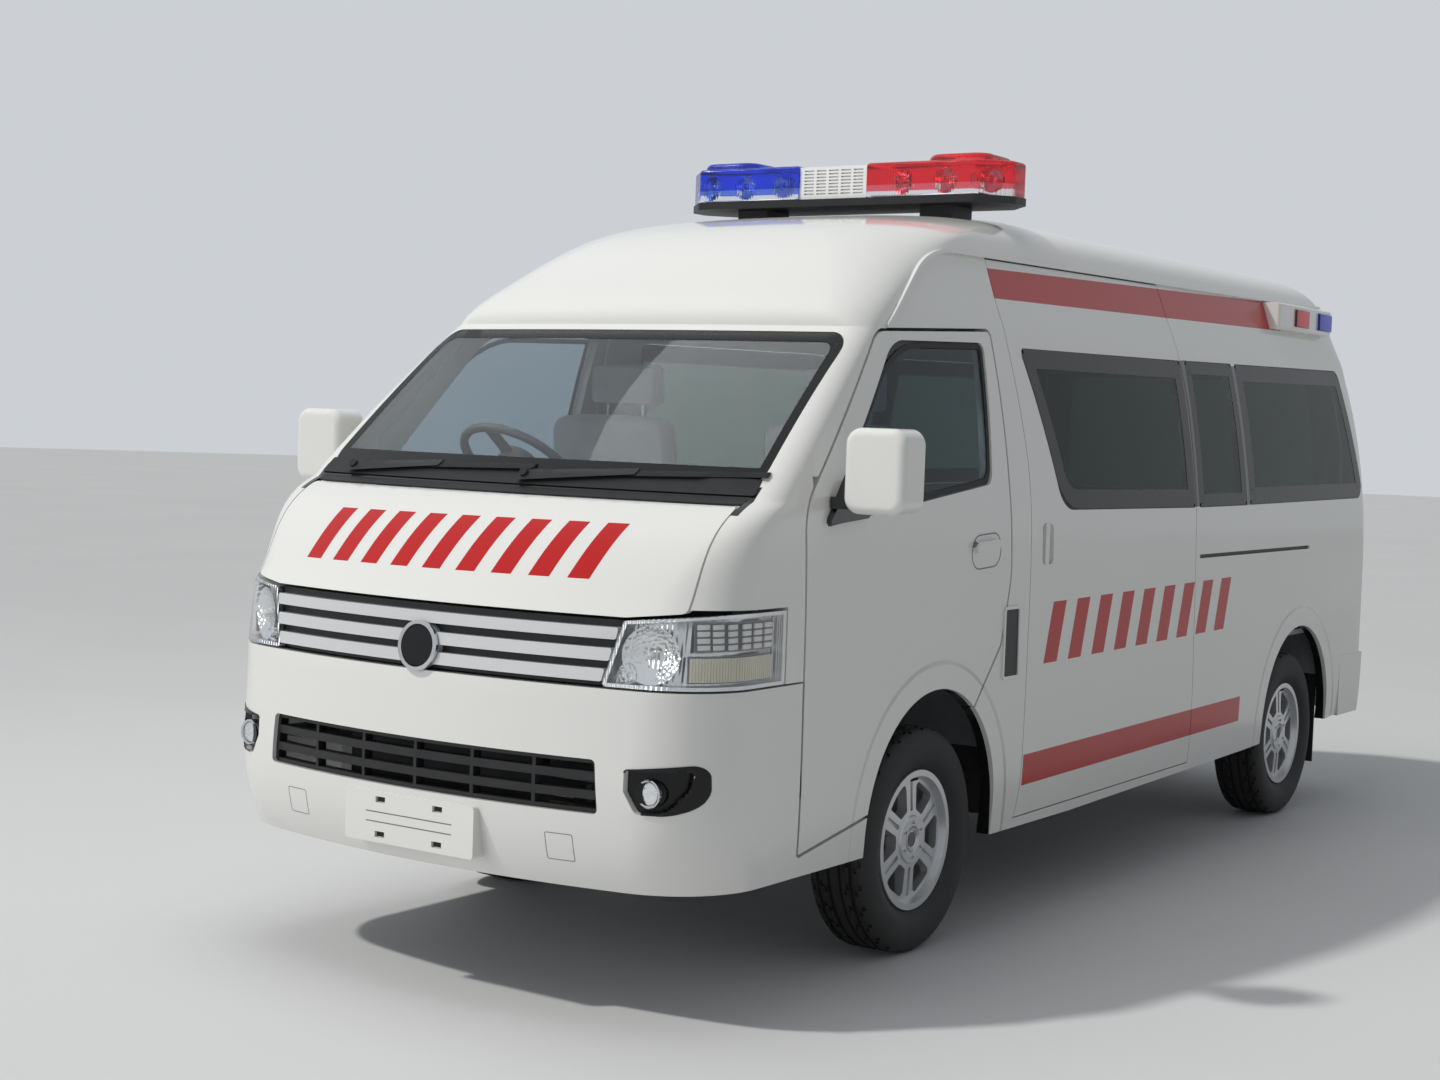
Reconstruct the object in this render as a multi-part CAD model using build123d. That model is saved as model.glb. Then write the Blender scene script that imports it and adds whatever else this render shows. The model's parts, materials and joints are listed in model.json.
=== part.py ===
from build123d import *
import os
from functools import cache
from math import acos, cos, radians, sin, sqrt

# High-roof ambulance van, millimetres.
# The nose looks along -Y, +X is the vehicle's left side, +Z is up, and the tyres stand on Z = 0.
os.makedirs("parts", exist_ok=True)

# Overall sizes
LENGTH = 5320.0
FRONT_OVERHANG = 1325.0
WHEELBASE = 3110.0
HALF_WIDTH = 848.0
FRONT_END = -LENGTH / 2
REAR_END = LENGTH / 2
FRONT_AXLE = FRONT_END + FRONT_OVERHANG
REAR_AXLE = FRONT_AXLE + WHEELBASE

# Wheels
TYRE_RADIUS = 333.0
TRACK = 1420.0
BEAD_RADIUS = 196.0
RIM_LIP_RADIUS = 206.0
RIM_HALF = 80.0
SPINDLE_RADIUS = 22.0
HUB_RADIUS = 72.0
RUNNING_GAP = 0.3
SPOKES = 6
TYRE_OUTSIDE = [(72, 0), (72, 11), (90, 38), (97.5, 72), (95, 105), (84, 128), (68, 137)]
TYRE_WALL = 14.0

# Walls, gaps and glass
WALL = 45.0
BUMPER_WALL = 35.0
BONNET_WALL = 18.0
FRONT_DEPTH = 80.0
DOOR_GAP = 9.5
TAIL_GAP = 10.0
PANEL_GAP = 4.0
SEAT_GAP = 0.3
GLASS = 5.0
LENS = 4.0
GUTTER_PROUD = 9.0
GUTTER_DEEP = 12.0
COWL_PROUD = 5.0
ARCH_RADIUS = 388.0
ARCH_HEIGHT = 395.0
TAIL_RADIUS = 9000.0

# Horizontal sections of the body, from the sill to the roof's top. Columns: height, half width,
# nose from the front axle, nose radius, corner radius, tail from the rear end, tail corner radius.
LOWER = [
    (300, -14, -1235, 2850, 290, -60, 60),
    (450, -4, -1302, 2900, 261, -30, 60),
    (660, 0, -1318, 2900, 260, -20, 60),
    (860, 0, -1305, 2950, 242, -20, 60),
]
NOSE = [
    (860, 0, -1305, 2950, 242, -20, 60),
    (1035, 0, -1284, 2920, 240, -25, 60),
]
BONNET = [
    (1035, 0, -1284, 2920, 240, -25, 60),
    (1100, -1, -1241, 2900, 226, -28, 60),
    (1210, -4, -1160, 3400, 160, -35, 60),
    (1335, -13, -978, 4050, 80, -45, 60),
]
SCREEN = [
    (1335, -13, -978, 4050, 80, -45, 60),
    (1580, -46, -700, 4400, 80, -60, 70),
    (1815, -94, -412, 4400, 85, -105, 80),
]
ROOF = [
    (1815, -94, -412, 4400, 85, -105, 80),
    (1930, -129, -313, 3700, 180, -125, 90),
    (2040, -166, -151, 2950, 260, -150, 110),
    (2120, -196, 5, 2600, 340, -175, 140),
    (2176, -236, 222, 2400, 385, -225, 180),
    (2213, -298, 470, 2400, 400, -305, 220),
    (2234, -378, 690, 2400, 340, -405, 250),
    (2245, -468, 900, 2400, 280, -520, 250),
]
ZONES = {"lower": LOWER, "nose": NOSE, "bonnet": BONNET, "screen": SCREEN, "roof": ROOF}
ALL = tuple(ZONES)
BAND_BASE = ROOF[0][0]
ROOF_TOP = ROOF[-1][0]


def section(row, inset=0.0):
    """One closed outline of the body, in from the skin by inset. Above the windscreen it also sinks."""
    height, narrower, nose, nose_radius, corner, tail, tail_corner = row
    sink = inset * max(0.0, (height - BAND_BASE) / (ROOF_TOP - BAND_BASE))
    z = height - sink
    half = HALF_WIDTH + narrower - inset
    front = FRONT_AXLE + nose + inset
    rear = REAR_END + tail - inset
    nose_radius -= inset
    corner = max(corner - inset, 12.0)
    tail_corner = max(tail_corner - inset, 10.0)
    turn = acos((half - corner) / (nose_radius - corner))
    nose_centre = front + nose_radius
    corner_y = nose_centre - (nose_radius - corner) * sin(turn)
    tail_centre = rear - TAIL_RADIUS
    tail_y = tail_centre + sqrt((TAIL_RADIUS - tail_corner) ** 2 - (half - tail_corner) ** 2)
    reach = TAIL_RADIUS / (TAIL_RADIUS - tail_corner)

    def at(side, x, y):
        return Vector(side * x, y, z)

    def corner_arc(side):
        points = [
            at(side, half - corner + corner * cos(a), corner_y - corner * sin(a))
            for a in (0, turn / 2, turn)
        ]
        return Edge.make_three_point_arc(*points)

    def tail_arc(side):
        start = at(side, half, tail_y)
        middle = at(side, half - tail_corner * (1 - sqrt(0.5)), tail_y + tail_corner * sqrt(0.5))
        end = at(side, (half - tail_corner) * reach, tail_centre + (tail_y - tail_centre) * reach)
        return Edge.make_three_point_arc(start, middle, end)

    nose_end = (nose_radius * cos(turn), nose_centre - nose_radius * sin(turn))
    left_tail = tail_arc(1)
    right_tail = tail_arc(-1)
    return Wire([
        Edge.make_three_point_arc(at(-1, *nose_end), Vector(0, front, z), at(1, *nose_end)),
        corner_arc(1),
        Edge.make_line(at(1, half, corner_y), at(1, half, tail_y)),
        left_tail,
        Edge.make_three_point_arc(left_tail @ 1, Vector(0, rear, z), right_tail @ 1),
        right_tail,
        Edge.make_line(at(-1, half, tail_y), at(-1, half, corner_y)),
        corner_arc(-1),
    ])


def body(rows, inset=0.0):
    """The solid body between the first and the last of these sections."""
    return Solid.make_loft([section(row, inset) for row in rows])


@cache
def stack(inset, *zones):
    """Several stretches of the body on top of each other, as one solid under the skin by inset."""
    faces = []
    for zone in zones:
        flat = body(ZONES[zone], inset).faces().sort_by(Axis.Z)
        faces += [face for face in flat if face not in (flat[0], flat[-1])]
        if zone == zones[0]:
            faces.append(flat[0])
        if zone == zones[-1]:
            faces.append(flat[-1])
    return Solid(Shell(faces))


def piece(region, outer, inner, *zones):
    """The part of a region that lies between two depths under the skin."""
    return (stack(outer, *zones) & region) - stack(inner, *zones)


def box(x0, x1, y0, y1, z0, z1):
    """A box between two corners."""
    return Pos((x0 + x1) / 2, (y0 + y1) / 2, (z0 + z1) / 2) * Box(x1 - x0, y1 - y0, z1 - z0)


def rod(start, end, radius):
    """A round bar from start to end."""
    start = Vector(*start)
    end = Vector(*end)
    along = end - start
    return extrude(Plane(start, z_dir=along) * Circle(radius), amount=along.length)


def tube(points, radius, bend):
    """A bent round pipe through these points."""
    path = FilletPolyline(*points, radius=bend)
    return sweep(Plane(path @ 0, z_dir=path % 0) * Circle(radius), path=path)


def side_face(points, radii):
    """A flat outline seen from the side. points are (y, z)."""
    wire = FilletPolyline(*[(0, y, z) for y, z in points], radius=radii, close=True)
    return Face(Wire(wire.edges()))


def side_cut(points, radii, x0, x1, grow=0.0):
    """A side outline drawn through from x0 to x1, made larger or smaller by grow."""
    face = side_face(points, radii)
    if grow:
        face = offset(face, amount=grow, kind=Kind.INTERSECTION).face()
    return Pos(x0, 0, 0) * extrude(face, amount=x1 - x0, dir=(1, 0, 0))


def front_cut(points, radii, y0, y1, grow=0.0):
    """A front outline drawn through from y0 to y1. points are (x, z)."""
    wire = FilletPolyline(*[(x, 0, z) for x, z in points], radius=radii, close=True)
    face = Face(Wire(wire.edges()))
    if grow:
        face = offset(face, amount=grow, kind=Kind.INTERSECTION).face()
    return Pos(0, y0, 0) * extrude(face, amount=y1 - y0, dir=(0, 1, 0))


def mirrored(solid):
    """The same thing on the vehicle's other side."""
    return mirror(solid, about=Plane.YZ)


def both(solid):
    """A thing and its mirror image."""
    return Compound([*solid.solids(), *mirrored(solid).solids()])


def write(name, shape):
    """Writes one sub-part."""
    solids = shape.solids()
    whole = solids[0] if len(solids) == 1 else Compound(solids)
    export_step(whole, f"parts/{name}.step")


def fa(y):
    """A place counted from the front axle."""
    return FRONT_AXLE + y


def arch(axle, x0, x1, radius=ARCH_RADIUS):
    """The round opening of a wheel arch."""
    return rod((x0, axle, ARCH_HEIGHT), (x1, axle, ARCH_HEIGHT), radius) + box(
        x0, x1, axle - radius, axle + radius, 0, ARCH_HEIGHT)


# Outlines seen from the side, as (y, z)
DOOR = [
    (fa(-746), 394), (fa(-760), 1322), (fa(-283), 1815), (fa(424), 1850),
    (fa(446), 1100), (fa(392), 885), (fa(150), 620), (fa(-300), 470),
]
DOOR_RADII = [15, 180, 120, 30, 300, 60, 0, 0]
DOOR_WINDOW = [(fa(-672), 1266), (fa(-205), 1785), (fa(362), 1804), (fa(318), 1378)]
DOOR_WINDOW_RADII = [14, 160, 26, 40]
DOOR_HANDLE = [(fa(183), 1174), (fa(183), 1206), (fa(333), 1212), (fa(333), 1180)]
MIRROR_FOOT = [(fa(-662), 1274), (fa(-560), 1392), (fa(-470), 1392), (fa(-450), 1290)]
SLIDE_DOOR = [
    (fa(512), 2090), (fa(512), 1900), (fa(574), 1420), (fa(566), 420), (fa(536), 330),
    (fa(1966), 344), (fa(1967), 500), (fa(1936), 1100), (fa(1940), 1700), (fa(1880), 2105),
]
SLIDE_RADII = [0, 260, 600, 300, 0, 0, 300, 900, 900, 0]
SLIDE_DEPTH = 30.0
HANDLE_WELL = [(fa(655), 1122), (fa(655), 1250), (fa(735), 1250), (fa(735), 1122)]
HANDLE_BAR = [(fa(672), 1120), (fa(672), 1252), (fa(700), 1252), (fa(700), 1120)]
BANDS = [
    ([(fa(604), 1800), (fa(810), 1292), (fa(1926), 1284), (fa(1914), 1816)], [24, 110, 10, 10]),
    ([(fa(1966), 1818), (fa(1968), 1284), (fa(2450), 1286), (fa(2436), 1826)], [10, 10, 10, 10]),
    ([(fa(2470), 1826), (fa(2484), 1287), (fa(3868), 1300), (fa(3700), 1846)], [10, 10, 60, 60]),
]
GUTTER = [(fa(-900), 1815), (fa(-228), 1815), (fa(146), 2070), (REAR_END + 300, 2118)]
GUTTER_RADII = [20, 500]
SILL = [
    (fa(300), 288), (fa(2530), 329), (fa(3420), 354), (REAR_END + 100, 400),
    (REAR_END + 100, 200), (fa(300), 200),
]
RAIL_HEIGHT = 1105.0
RAIL_END = 3170.0
SIDE_FRONT = -228.0
FENDER_FRONT = -838.0
LAMP_BACK = -845.0
REAR_BUMPER_FRONT = 3640.0
REAR_BUMPER_TOP = 622.0
TAIL_LAMP_X = (752.0, 814.0)
TAIL_LAMP_Z = (1000.0, 1420.0)
DASH = [
    (fa(-900), 1000), (fa(-900), 1262), (fa(-620), 1262), (fa(-540), 1180), (fa(-560), 1040), (fa(-620), 960),
]
SEAT_CUSHION = [(fa(-340), 900.5), (fa(-340), 1010), (fa(120), 990), (fa(120), 900.5)]
SEAT_BACK = [(fa(10), 960), (fa(95), 1555), (fa(190), 1545), (fa(130), 960)]
HEADREST = [(fa(95), 1575), (fa(100), 1715), (fa(175), 1710), (fa(170), 1575)]
SEAT_X = 415.0
SEAT_WIDTH = 480.0

# Outlines seen from the front, as (x, z)
SCREEN_OPENING = [(-765, 1362), (-728, 1797), (728, 1797), (765, 1362)]
SCREEN_RADII = [55, 60, 60, 55]
BONNET_HALF = 748.0
BONNET_REAR = 1322.0
BONNET_LIP = 1042.0
BONNET_OUTLINE = [(-748, 1322), (-748, 1058), (-606, 1042), (606, 1042), (748, 1058), (748, 1322)]
COWL = [(-768, 1350), (-760, 1392), (760, 1392), (768, 1350)]
WIPERS = [
    [(-640, 1372), (60, 1384), (60, 1398), (-640, 1388)],
    [(30, 1374), (775, 1390), (775, 1404), (30, 1390)],
]
LAMP_FRONT = [(562, 868), (606, 1034), (900, 1064), (900, 868)]
LAMP_TOP = 1059.0
GRILLE = [(-600, 1033), (-556, 868), (556, 868), (600, 1033)]
GRILLE_RADII = [8, 20, 20, 8]
GRILLE_BARS = [
    [(-562, 880), (-569, 912), (569, 912), (562, 880)],
    [(-578, 932), (-583, 964), (583, 964), (578, 932)],
    [(-590, 986), (-595, 1016), (595, 1016), (590, 986)],
]
BADGE_Z = 925.0
BADGE_RADIUS = 62.0
BUMPER_TOP = 862.0
BUMPER_BOTTOM = 345.0
AIR_OPENING = [(-560, 684), (-572, 546), (572, 546), (560, 684)]
AIR_RADII = [14, 14, 14, 14]
AIR_BARS = (592.0, 640.0)
AIR_RIBS = (-380.0, -190.0, 0.0, 190.0, 380.0)
FOG = [(640, 668), (792, 672), (786, 618), (745, 560), (672, 556), (640, 612)]
FOG_RADII = [10, 14, 20, 30, 20, 10]
FOG_X = 700.0
FOG_Z = 610.0
FOG_RADIUS = 36.0
PLATE_HALF = 224.0
PLATE_Z = (391.0, 528.0)
TAILGATE_TOP = 2022.0
TAILGATE = [(-735, 628), (-735, 1500), (-650, 2022), (650, 2022), (735, 1500), (735, 628)]
TAILGATE_RADII = [40, 300, 60, 60, 300, 40]
REAR_WINDOW = [(-610, 1290), (-570, 1800), (570, 1800), (610, 1290)]
REAR_WINDOW_RADII = [60, 60, 60, 60]
FRONT_CLEAR = FRONT_END - 200
REAR_CLEAR = REAR_END + 200

# Hinges
HINGE_DEEP = 17.0
HINGE_X = HALF_WIDTH - HINGE_DEEP
HINGE_Y = -690.0
HINGE_LEAN = 0.028
HINGE_HEIGHTS = (560.0, 1130.0)
HINGE_LONG = 60.0
PIN_RADIUS = 5.0
POST_INNER = 690.0
POST_OUTER = 750.0
BONNET_PIN_Y = -914.0
TAIL_HINGE_X = 420.0
TAIL_AT_HINGE = 147.0

# Roof equipment
BAR_Y = 825.0
BAR_HALF = 634.0
BAR_DEPTH = 290.0
BAR_END = (538.0, 40.0)
BAR_Z = 2271.0
BAR_LENS_Z = BAR_Z + 24.3
BAR_TOP = 2410.0
BAR_DOME = (330.0, 560.0)
BAR_DOME_TOP = 2434.0
SPEAKER_HALF = 133.0
MARKER_X = 738.0
MARKER_Y = (2990.0, 3630.0)
MARKER_Z = (1990.0, 2098.0)
MARKER_LENSES = ((3170.0, 3330.0), (3455.0, 3615.0))

# Cab and underbody
WHEEL_Y = -420.0
WHEEL_Z = 1385.0
WHEEL_TILT = 37.0
WHEEL_RADIUS = 190.0
FLOOR = 20.0
FOOT_Z = 600.0
SEAT_Z = 900.0
LOAD_Z = 550.0
HOUSE_X = 560.0
HOUSE_Y = 390.0
HOUSE_Z = 760.0
RAIL_X = (300.0, 370.0)
RAIL_Z = (380.0, 480.0)
RAIL = [(fa(-1190), 380), (fa(-1190), 480), (fa(3850), 480), (fa(3850), 380)]
CROSS_MEMBERS = (700.0, 3700.0)
OUTRIGGERS = (560.0, 1200.0, 2000.0, 2500.0, 3700.0)
SPRING_X = (440.0, 500.0)
SPRING_REACH = 600.0
SPRING = [
    (REAR_AXLE - 620, 430), (REAR_AXLE, 384), (REAR_AXLE + 620, 430),
    (REAR_AXLE + 620, 456), (REAR_AXLE, 412), (REAR_AXLE - 620, 456),
]
RADIATOR_HALF = 330.0
ENGINE_HALF = 250.0
KINGPIN_X = 612.0
KINGPIN_RADIUS = 12.0
LOWER_ARM_Z = 220.0
UPPER_ARM_Z = 470.0
BRAKE_RADIUS = 125.0
AXLE_TUBE = 45.0
DRUM_RADIUS = 125.0
DIFF_RADIUS = 120.0

# Body shell
side_room = HALF_WIDTH + 60
wall = stack(0, *ALL) - stack(WALL, *ALL)

gutter_line = FilletPolyline(*[(0, y, z) for y, z in GUTTER], radius=GUTTER_RADII)


def above_gutter(raised):
    """Everything above the roof's gutter line, raised by that much."""
    top = 2600
    first = gutter_line @ 0
    last = gutter_line @ 1
    rest = Polyline((0, last.Y, last.Z), (0, last.Y, top), (0, first.Y, top), (0, first.Y, first.Z))
    face = Face(Wire([*gutter_line.edges(), *rest.edges()]))
    return Pos(-side_room, 0, raised) * extrude(face, amount=2 * side_room, dir=(1, 0, 0))


# The roof comes down to the tailgate between the rear corners
HEADER_HALF = 640.0
tail_opening = front_cut(TAILGATE, TAILGATE_RADII, fa(3600), REAR_CLEAR)
over = above_gutter(0) + box(-HEADER_HALF, HEADER_HALF, fa(3600), REAR_CLEAR, TAILGATE_TOP - 5, 2200)
gutter_room = (above_gutter(0) - above_gutter(GUTTER_DEEP)) & box(
    -side_room, side_room, fa(-225), fa(3700), 1500, 2300)
roof = ((wall & over) - tail_opening) + piece(gutter_room, -GUTTER_PROUD, 1, "screen", "roof")

# Hinges of the tailgate: an arm from the roof's rear edge reaches in behind the tailgate's skin
tail_axis_y = REAR_END - TAIL_AT_HINGE - HINGE_DEEP
tail_axis_z = TAILGATE_TOP - 42.0
for x in (-TAIL_HINGE_X, TAIL_HINGE_X):
    x0, x1 = x - HINGE_LONG / 2, x + HINGE_LONG / 2
    roof = roof + box(x0, x1, tail_axis_y - 72, tail_axis_y - 10, TAILGATE_TOP + 4, TAILGATE_TOP + 18)
    roof = roof + box(x0, x1, tail_axis_y - 72, tail_axis_y - 58, tail_axis_z - 8, TAILGATE_TOP + 18)
    roof = roof + box(x0, x1, tail_axis_y - 72, tail_axis_y + 2, tail_axis_z - 8, tail_axis_z + 4)
    roof = roof + rod((x0 - 14, tail_axis_y, tail_axis_z), (x1 + 14, tail_axis_y, tail_axis_z), PIN_RADIUS)
write("roof", roof)

# Body sides, with the rear corners
lower_wall = wall - over
door_room = side_cut(DOOR, DOOR_RADII, 300, side_room)
front_arch = arch(FRONT_AXLE, 300, side_room)
rear_arch = arch(REAR_AXLE, 300, side_room)
lamp_room = box(*TAIL_LAMP_X, REAR_END - 140, REAR_CLEAR, *TAIL_LAMP_Z)
bumper_room = box(0, side_room, fa(REAR_BUMPER_FRONT), REAR_CLEAR, 0, REAR_BUMPER_TOP)
side_region = box(0, side_room, fa(SIDE_FRONT), REAR_CLEAR, 300, 2300)
side_region = side_region - box(0, side_room, fa(-900), fa(200), 100, 1700)
side_region = side_region - door_room - front_arch - rear_arch - lamp_room - bumper_room - tail_opening
side_region = side_region - side_cut(SILL, [0] * len(SILL), 0, side_room)
slide_room = side_cut(SLIDE_DOOR, SLIDE_RADII, 300, side_room)
last_pane = side_cut(*BANDS[-1], 300, side_room)
middle_pane = side_cut(*BANDS[1], 300, side_room)
first_pane = side_cut(*BANDS[0], 300, side_room)

half_wall = lower_wall & side_region
half_wall = half_wall - middle_pane - last_pane
right_side = half_wall - first_pane
rail_slot = box(HALF_WIDTH - 22, side_room, fa(1975), fa(RAIL_END), RAIL_HEIGHT - 7, RAIL_HEIGHT + 7)
left_side = half_wall - slide_room - rail_slot

# The slide door is shallower than the wall and rests on a flange inside its opening
flange = slide_room - side_cut(SLIDE_DOOR, SLIDE_RADII, 300, side_room, -22)
flange = (flange & side_region) - above_gutter(0)
left_side = left_side + piece(flange, SLIDE_DEPTH + SEAT_GAP, WALL, *ALL)
slide_region = side_cut(SLIDE_DOOR, SLIDE_RADII, 300, side_room, -PANEL_GAP)
slide_door = piece(slide_region - first_pane - above_gutter(-PANEL_GAP), 0, SLIDE_DEPTH, *ALL)
slide_door = slide_door - side_cut(HANDLE_WELL, [18] * 4, HALF_WIDTH - 20, side_room)
slide_door = slide_door + side_cut(HANDLE_BAR, [10] * 4, HALF_WIDTH - 24, HALF_WIDTH)
write("body_side_left", left_side)
write("body_side_right", mirrored(right_side))
write("slide_door", slide_door)

# Front frame: fenders, pillars and header round the bonnet and the windscreen
frame_region = side_cut(
    [(fa(FENDER_FRONT), BUMPER_TOP + 5), (fa(FENDER_FRONT), LAMP_TOP + 8), (FRONT_CLEAR, LAMP_TOP + 8),
     (FRONT_CLEAR, BAND_BASE), (fa(SIDE_FRONT), BAND_BASE), (fa(SIDE_FRONT), 1700),
     (fa(-500), 1400), (fa(-500), BUMPER_TOP + 5)], [0] * 8, -side_room, side_room)
bonnet_room = box(-BONNET_HALF - 5, BONNET_HALF + 5, FRONT_CLEAR, fa(-500), 860, BONNET_REAR + 20)
screen_room = front_cut(SCREEN_OPENING, SCREEN_RADII, FRONT_CLEAR, fa(100))
frame_region = frame_region - bonnet_room - screen_room - door_room - mirrored(door_room)
front_frame = lower_wall & frame_region

# The door's hinge line leans in with the body's side
hinge_y = fa(HINGE_Y)


def hinge_at(height):
    """The hinge line's point at a height."""
    return (HINGE_X - (height - BUMPER_TOP) * HINGE_LEAN, hinge_y, height)


post = box(POST_INNER, POST_OUTER, fa(-860), hinge_y + 10, 420, 1300)
post = post + (box(POST_OUTER - 5, side_room, fa(-835), fa(-775), 420, BUMPER_TOP + 6) & stack(BUMPER_WALL + SEAT_GAP, "lower", "nose"))
post = post + box(POST_OUTER - 5, HALF_WIDTH - WALL + 2, fa(-835), fa(-775), BUMPER_TOP + 5, 1300)
for height in HINGE_HEIGHTS:
    post = post + box(POST_OUTER - 4, hinge_at(height)[0] + 2, hinge_y - 4, hinge_y + 8, height, height + HINGE_LONG)
    post = post + rod(hinge_at(height - 14), hinge_at(height + HINGE_LONG + 14), PIN_RADIUS)
pin_y = fa(BONNET_PIN_Y)
pin_z = BONNET_REAR - 8
post = post + rod((BONNET_HALF - 32, pin_y, pin_z), (BONNET_HALF + 14, pin_y, pin_z), PIN_RADIUS)
relief = rod(hinge_at(1362), hinge_at(1402), 24)
front_frame = front_frame - relief - mirrored(relief) + post + mirrored(post)
write("front_frame", front_frame)

# Bonnet, with an ear on each side for its hinge pin
bonnet = piece(
    front_cut(BONNET_OUTLINE, [12, 12, 0, 0, 12, 12], FRONT_CLEAR, fa(-500)), 0, BONNET_WALL, "nose", "bonnet")
ear_x0, ear_x1 = BONNET_HALF - 26, BONNET_HALF - 6
ear = rod((ear_x0, pin_y, pin_z), (ear_x1, pin_y, pin_z), 12)
ear = ear + (box(ear_x0, ear_x1, pin_y - 60, pin_y, pin_z - 12, pin_z + 4) & stack(5, "nose", "bonnet"))
ear = ear - rod((ear_x0 - 5, pin_y, pin_z), (ear_x1 + 5, pin_y, pin_z), PIN_RADIUS + RUNNING_GAP)
bonnet = bonnet + ear + mirrored(ear)
write("bonnet", bonnet)

# Windscreen, the cowl strip over its lower edge, and the wipers on it
windscreen = piece(
    front_cut(SCREEN_OPENING, SCREEN_RADII, FRONT_CLEAR, fa(100), -0.5), 2, 2 + GLASS, "screen")
write("windscreen", windscreen)
cowl = piece(front_cut(COWL, [6] * 4, FRONT_CLEAR, fa(-500)), -COWL_PROUD, -SEAT_GAP, "screen")
write("cowl", cowl)
wipers = []
for points in WIPERS:
    wiper = piece(front_cut(points, [0] * 4, FRONT_CLEAR, fa(-500)), -14, -COWL_PROUD - SEAT_GAP, "screen")
    wipers += wiper.solids()
write("wipers", Compound(wipers))

# Front doors
door = lower_wall & (side_cut(DOOR, DOOR_RADII, 300, side_room, -DOOR_GAP) - front_arch - side_cut(
    DOOR_WINDOW, DOOR_WINDOW_RADII, 300, side_room))
for height in HINGE_HEIGHTS:
    x, y, z = hinge_at(height)
    door = door - box(600, x + 5.5, y - 90, y + 14, z - 5, z + HINGE_LONG + 5)
    door = door - rod(hinge_at(height - 16), hinge_at(height + HINGE_LONG + 16), PIN_RADIUS + RUNNING_GAP)
door = door + side_cut(DOOR_HANDLE, [14] * 4, HALF_WIDTH - 20, HALF_WIDTH + 14)
door_glass = piece(side_cut(DOOR_WINDOW, DOOR_WINDOW_RADII, 300, side_room, -0.5), 10, 10 + GLASS, "bonnet", "screen")
mirror_foot = side_cut(MIRROR_FOOT, [8] * 4, 760, 856) - stack(10 - SEAT_GAP, "bonnet", "screen")
mirror_arm = box(840, 925, fa(-636), fa(-584), 1318, 1350)
mirror_body = Pos(997, fa(-636), 1422) * Box(184, 110, 226)
mirror_body = fillet(mirror_body.edges().filter_by(Axis.Y), 44)
mirror_body = fillet(mirror_body.faces().sort_by(Axis.Y)[0].edges(), 24)
side_mirror = mirror_body + mirror_arm + mirror_foot
door = door - (side_cut(MIRROR_FOOT, [8] * 4, 760, 870, SEAT_GAP) - stack(10, "bonnet", "screen"))
for side, turned in (("left", lambda shape: shape), ("right", mirrored)):
    write(f"door_{side}", turned(door))
    write(f"door_glass_{side}", turned(door_glass))
    write(f"mirror_{side}", turned(side_mirror))

# Fixed side glass
panes = []
for points, radii in BANDS:
    pane = piece(side_cut(points, radii, 300, side_room, -0.5), 1, 1 + GLASS, "bonnet", "screen", "roof")
    panes += [*pane.solids(), *mirrored(pane).solids()]
write("side_glass", Compound(panes))

# Tailgate with its glass
tailgate = wall & (front_cut(TAILGATE, TAILGATE_RADII, fa(3600), REAR_CLEAR, -TAIL_GAP) - front_cut(
    REAR_WINDOW, REAR_WINDOW_RADII, fa(3600), REAR_CLEAR))
for x in (-TAIL_HINGE_X, TAIL_HINGE_X):
    x0, x1 = x - HINGE_LONG / 2, x + HINGE_LONG / 2
    tailgate = tailgate - box(
        x0 - 6, x1 + 6, tail_axis_y - 200, tail_axis_y + 9, tail_axis_z - 14, TAILGATE_TOP + 10)
    tailgate = tailgate - rod(
        (x0 - 16, tail_axis_y, tail_axis_z), (x1 + 16, tail_axis_y, tail_axis_z), PIN_RADIUS + RUNNING_GAP)
tailgate = tailgate + (box(-230, 230, REAR_END - 60, REAR_END - 6, 905, 948) - stack(6, "nose"))
write("tailgate", tailgate)
tail_glass = piece(
    front_cut(REAR_WINDOW, REAR_WINDOW_RADII, fa(3600), REAR_CLEAR, -0.5), 3, 3 + GLASS, "bonnet", "screen")
write("tailgate_glass", tail_glass)
write("tail_lamps", both(piece(
    box(TAIL_LAMP_X[0] + 0.5, TAIL_LAMP_X[1] - 0.5, REAR_END - 140, REAR_CLEAR, TAIL_LAMP_Z[0] + 0.5, TAIL_LAMP_Z[1] - 0.5),
    0, WALL, "nose", "bonnet", "screen")))

# Front bumper with its plate bracket
bumper_region = side_cut(
    [(FRONT_CLEAR, BUMPER_BOTTOM), (FRONT_CLEAR, BUMPER_TOP), (fa(-700), BUMPER_TOP), (fa(-650), 600),
     (fa(-300), 520), (fa(-300), BUMPER_BOTTOM)], [0] * 6, -side_room, side_room)
fog_room = front_cut(FOG, FOG_RADII, FRONT_CLEAR, fa(-900))
air_room = front_cut(AIR_OPENING, AIR_RADII, FRONT_CLEAR, fa(-900))
bumper_region = bumper_region - door_room - mirrored(door_room) - front_arch - mirrored(front_arch)
bumper_region = bumper_region - air_room - fog_room - mirrored(fog_room)
front_bumper = piece(bumper_region, 0, BUMPER_WALL, "lower", "nose")
plate = box(-PLATE_HALF, PLATE_HALF, FRONT_END, FRONT_END + 60, PLATE_Z[0], PLATE_Z[1])
plate = fillet(plate.edges().filter_by(Axis.Y), 10)
for x in (-100, 100):
    for z in (PLATE_Z[0] + 22, PLATE_Z[1] - 22):
        plate = plate - box(x - 17, x + 17, FRONT_CLEAR, FRONT_END + 8, z - 8, z + 8)
front_bumper = front_bumper + (plate - stack(3, "lower", "nose"))
write("front_bumper", front_bumper)

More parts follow.
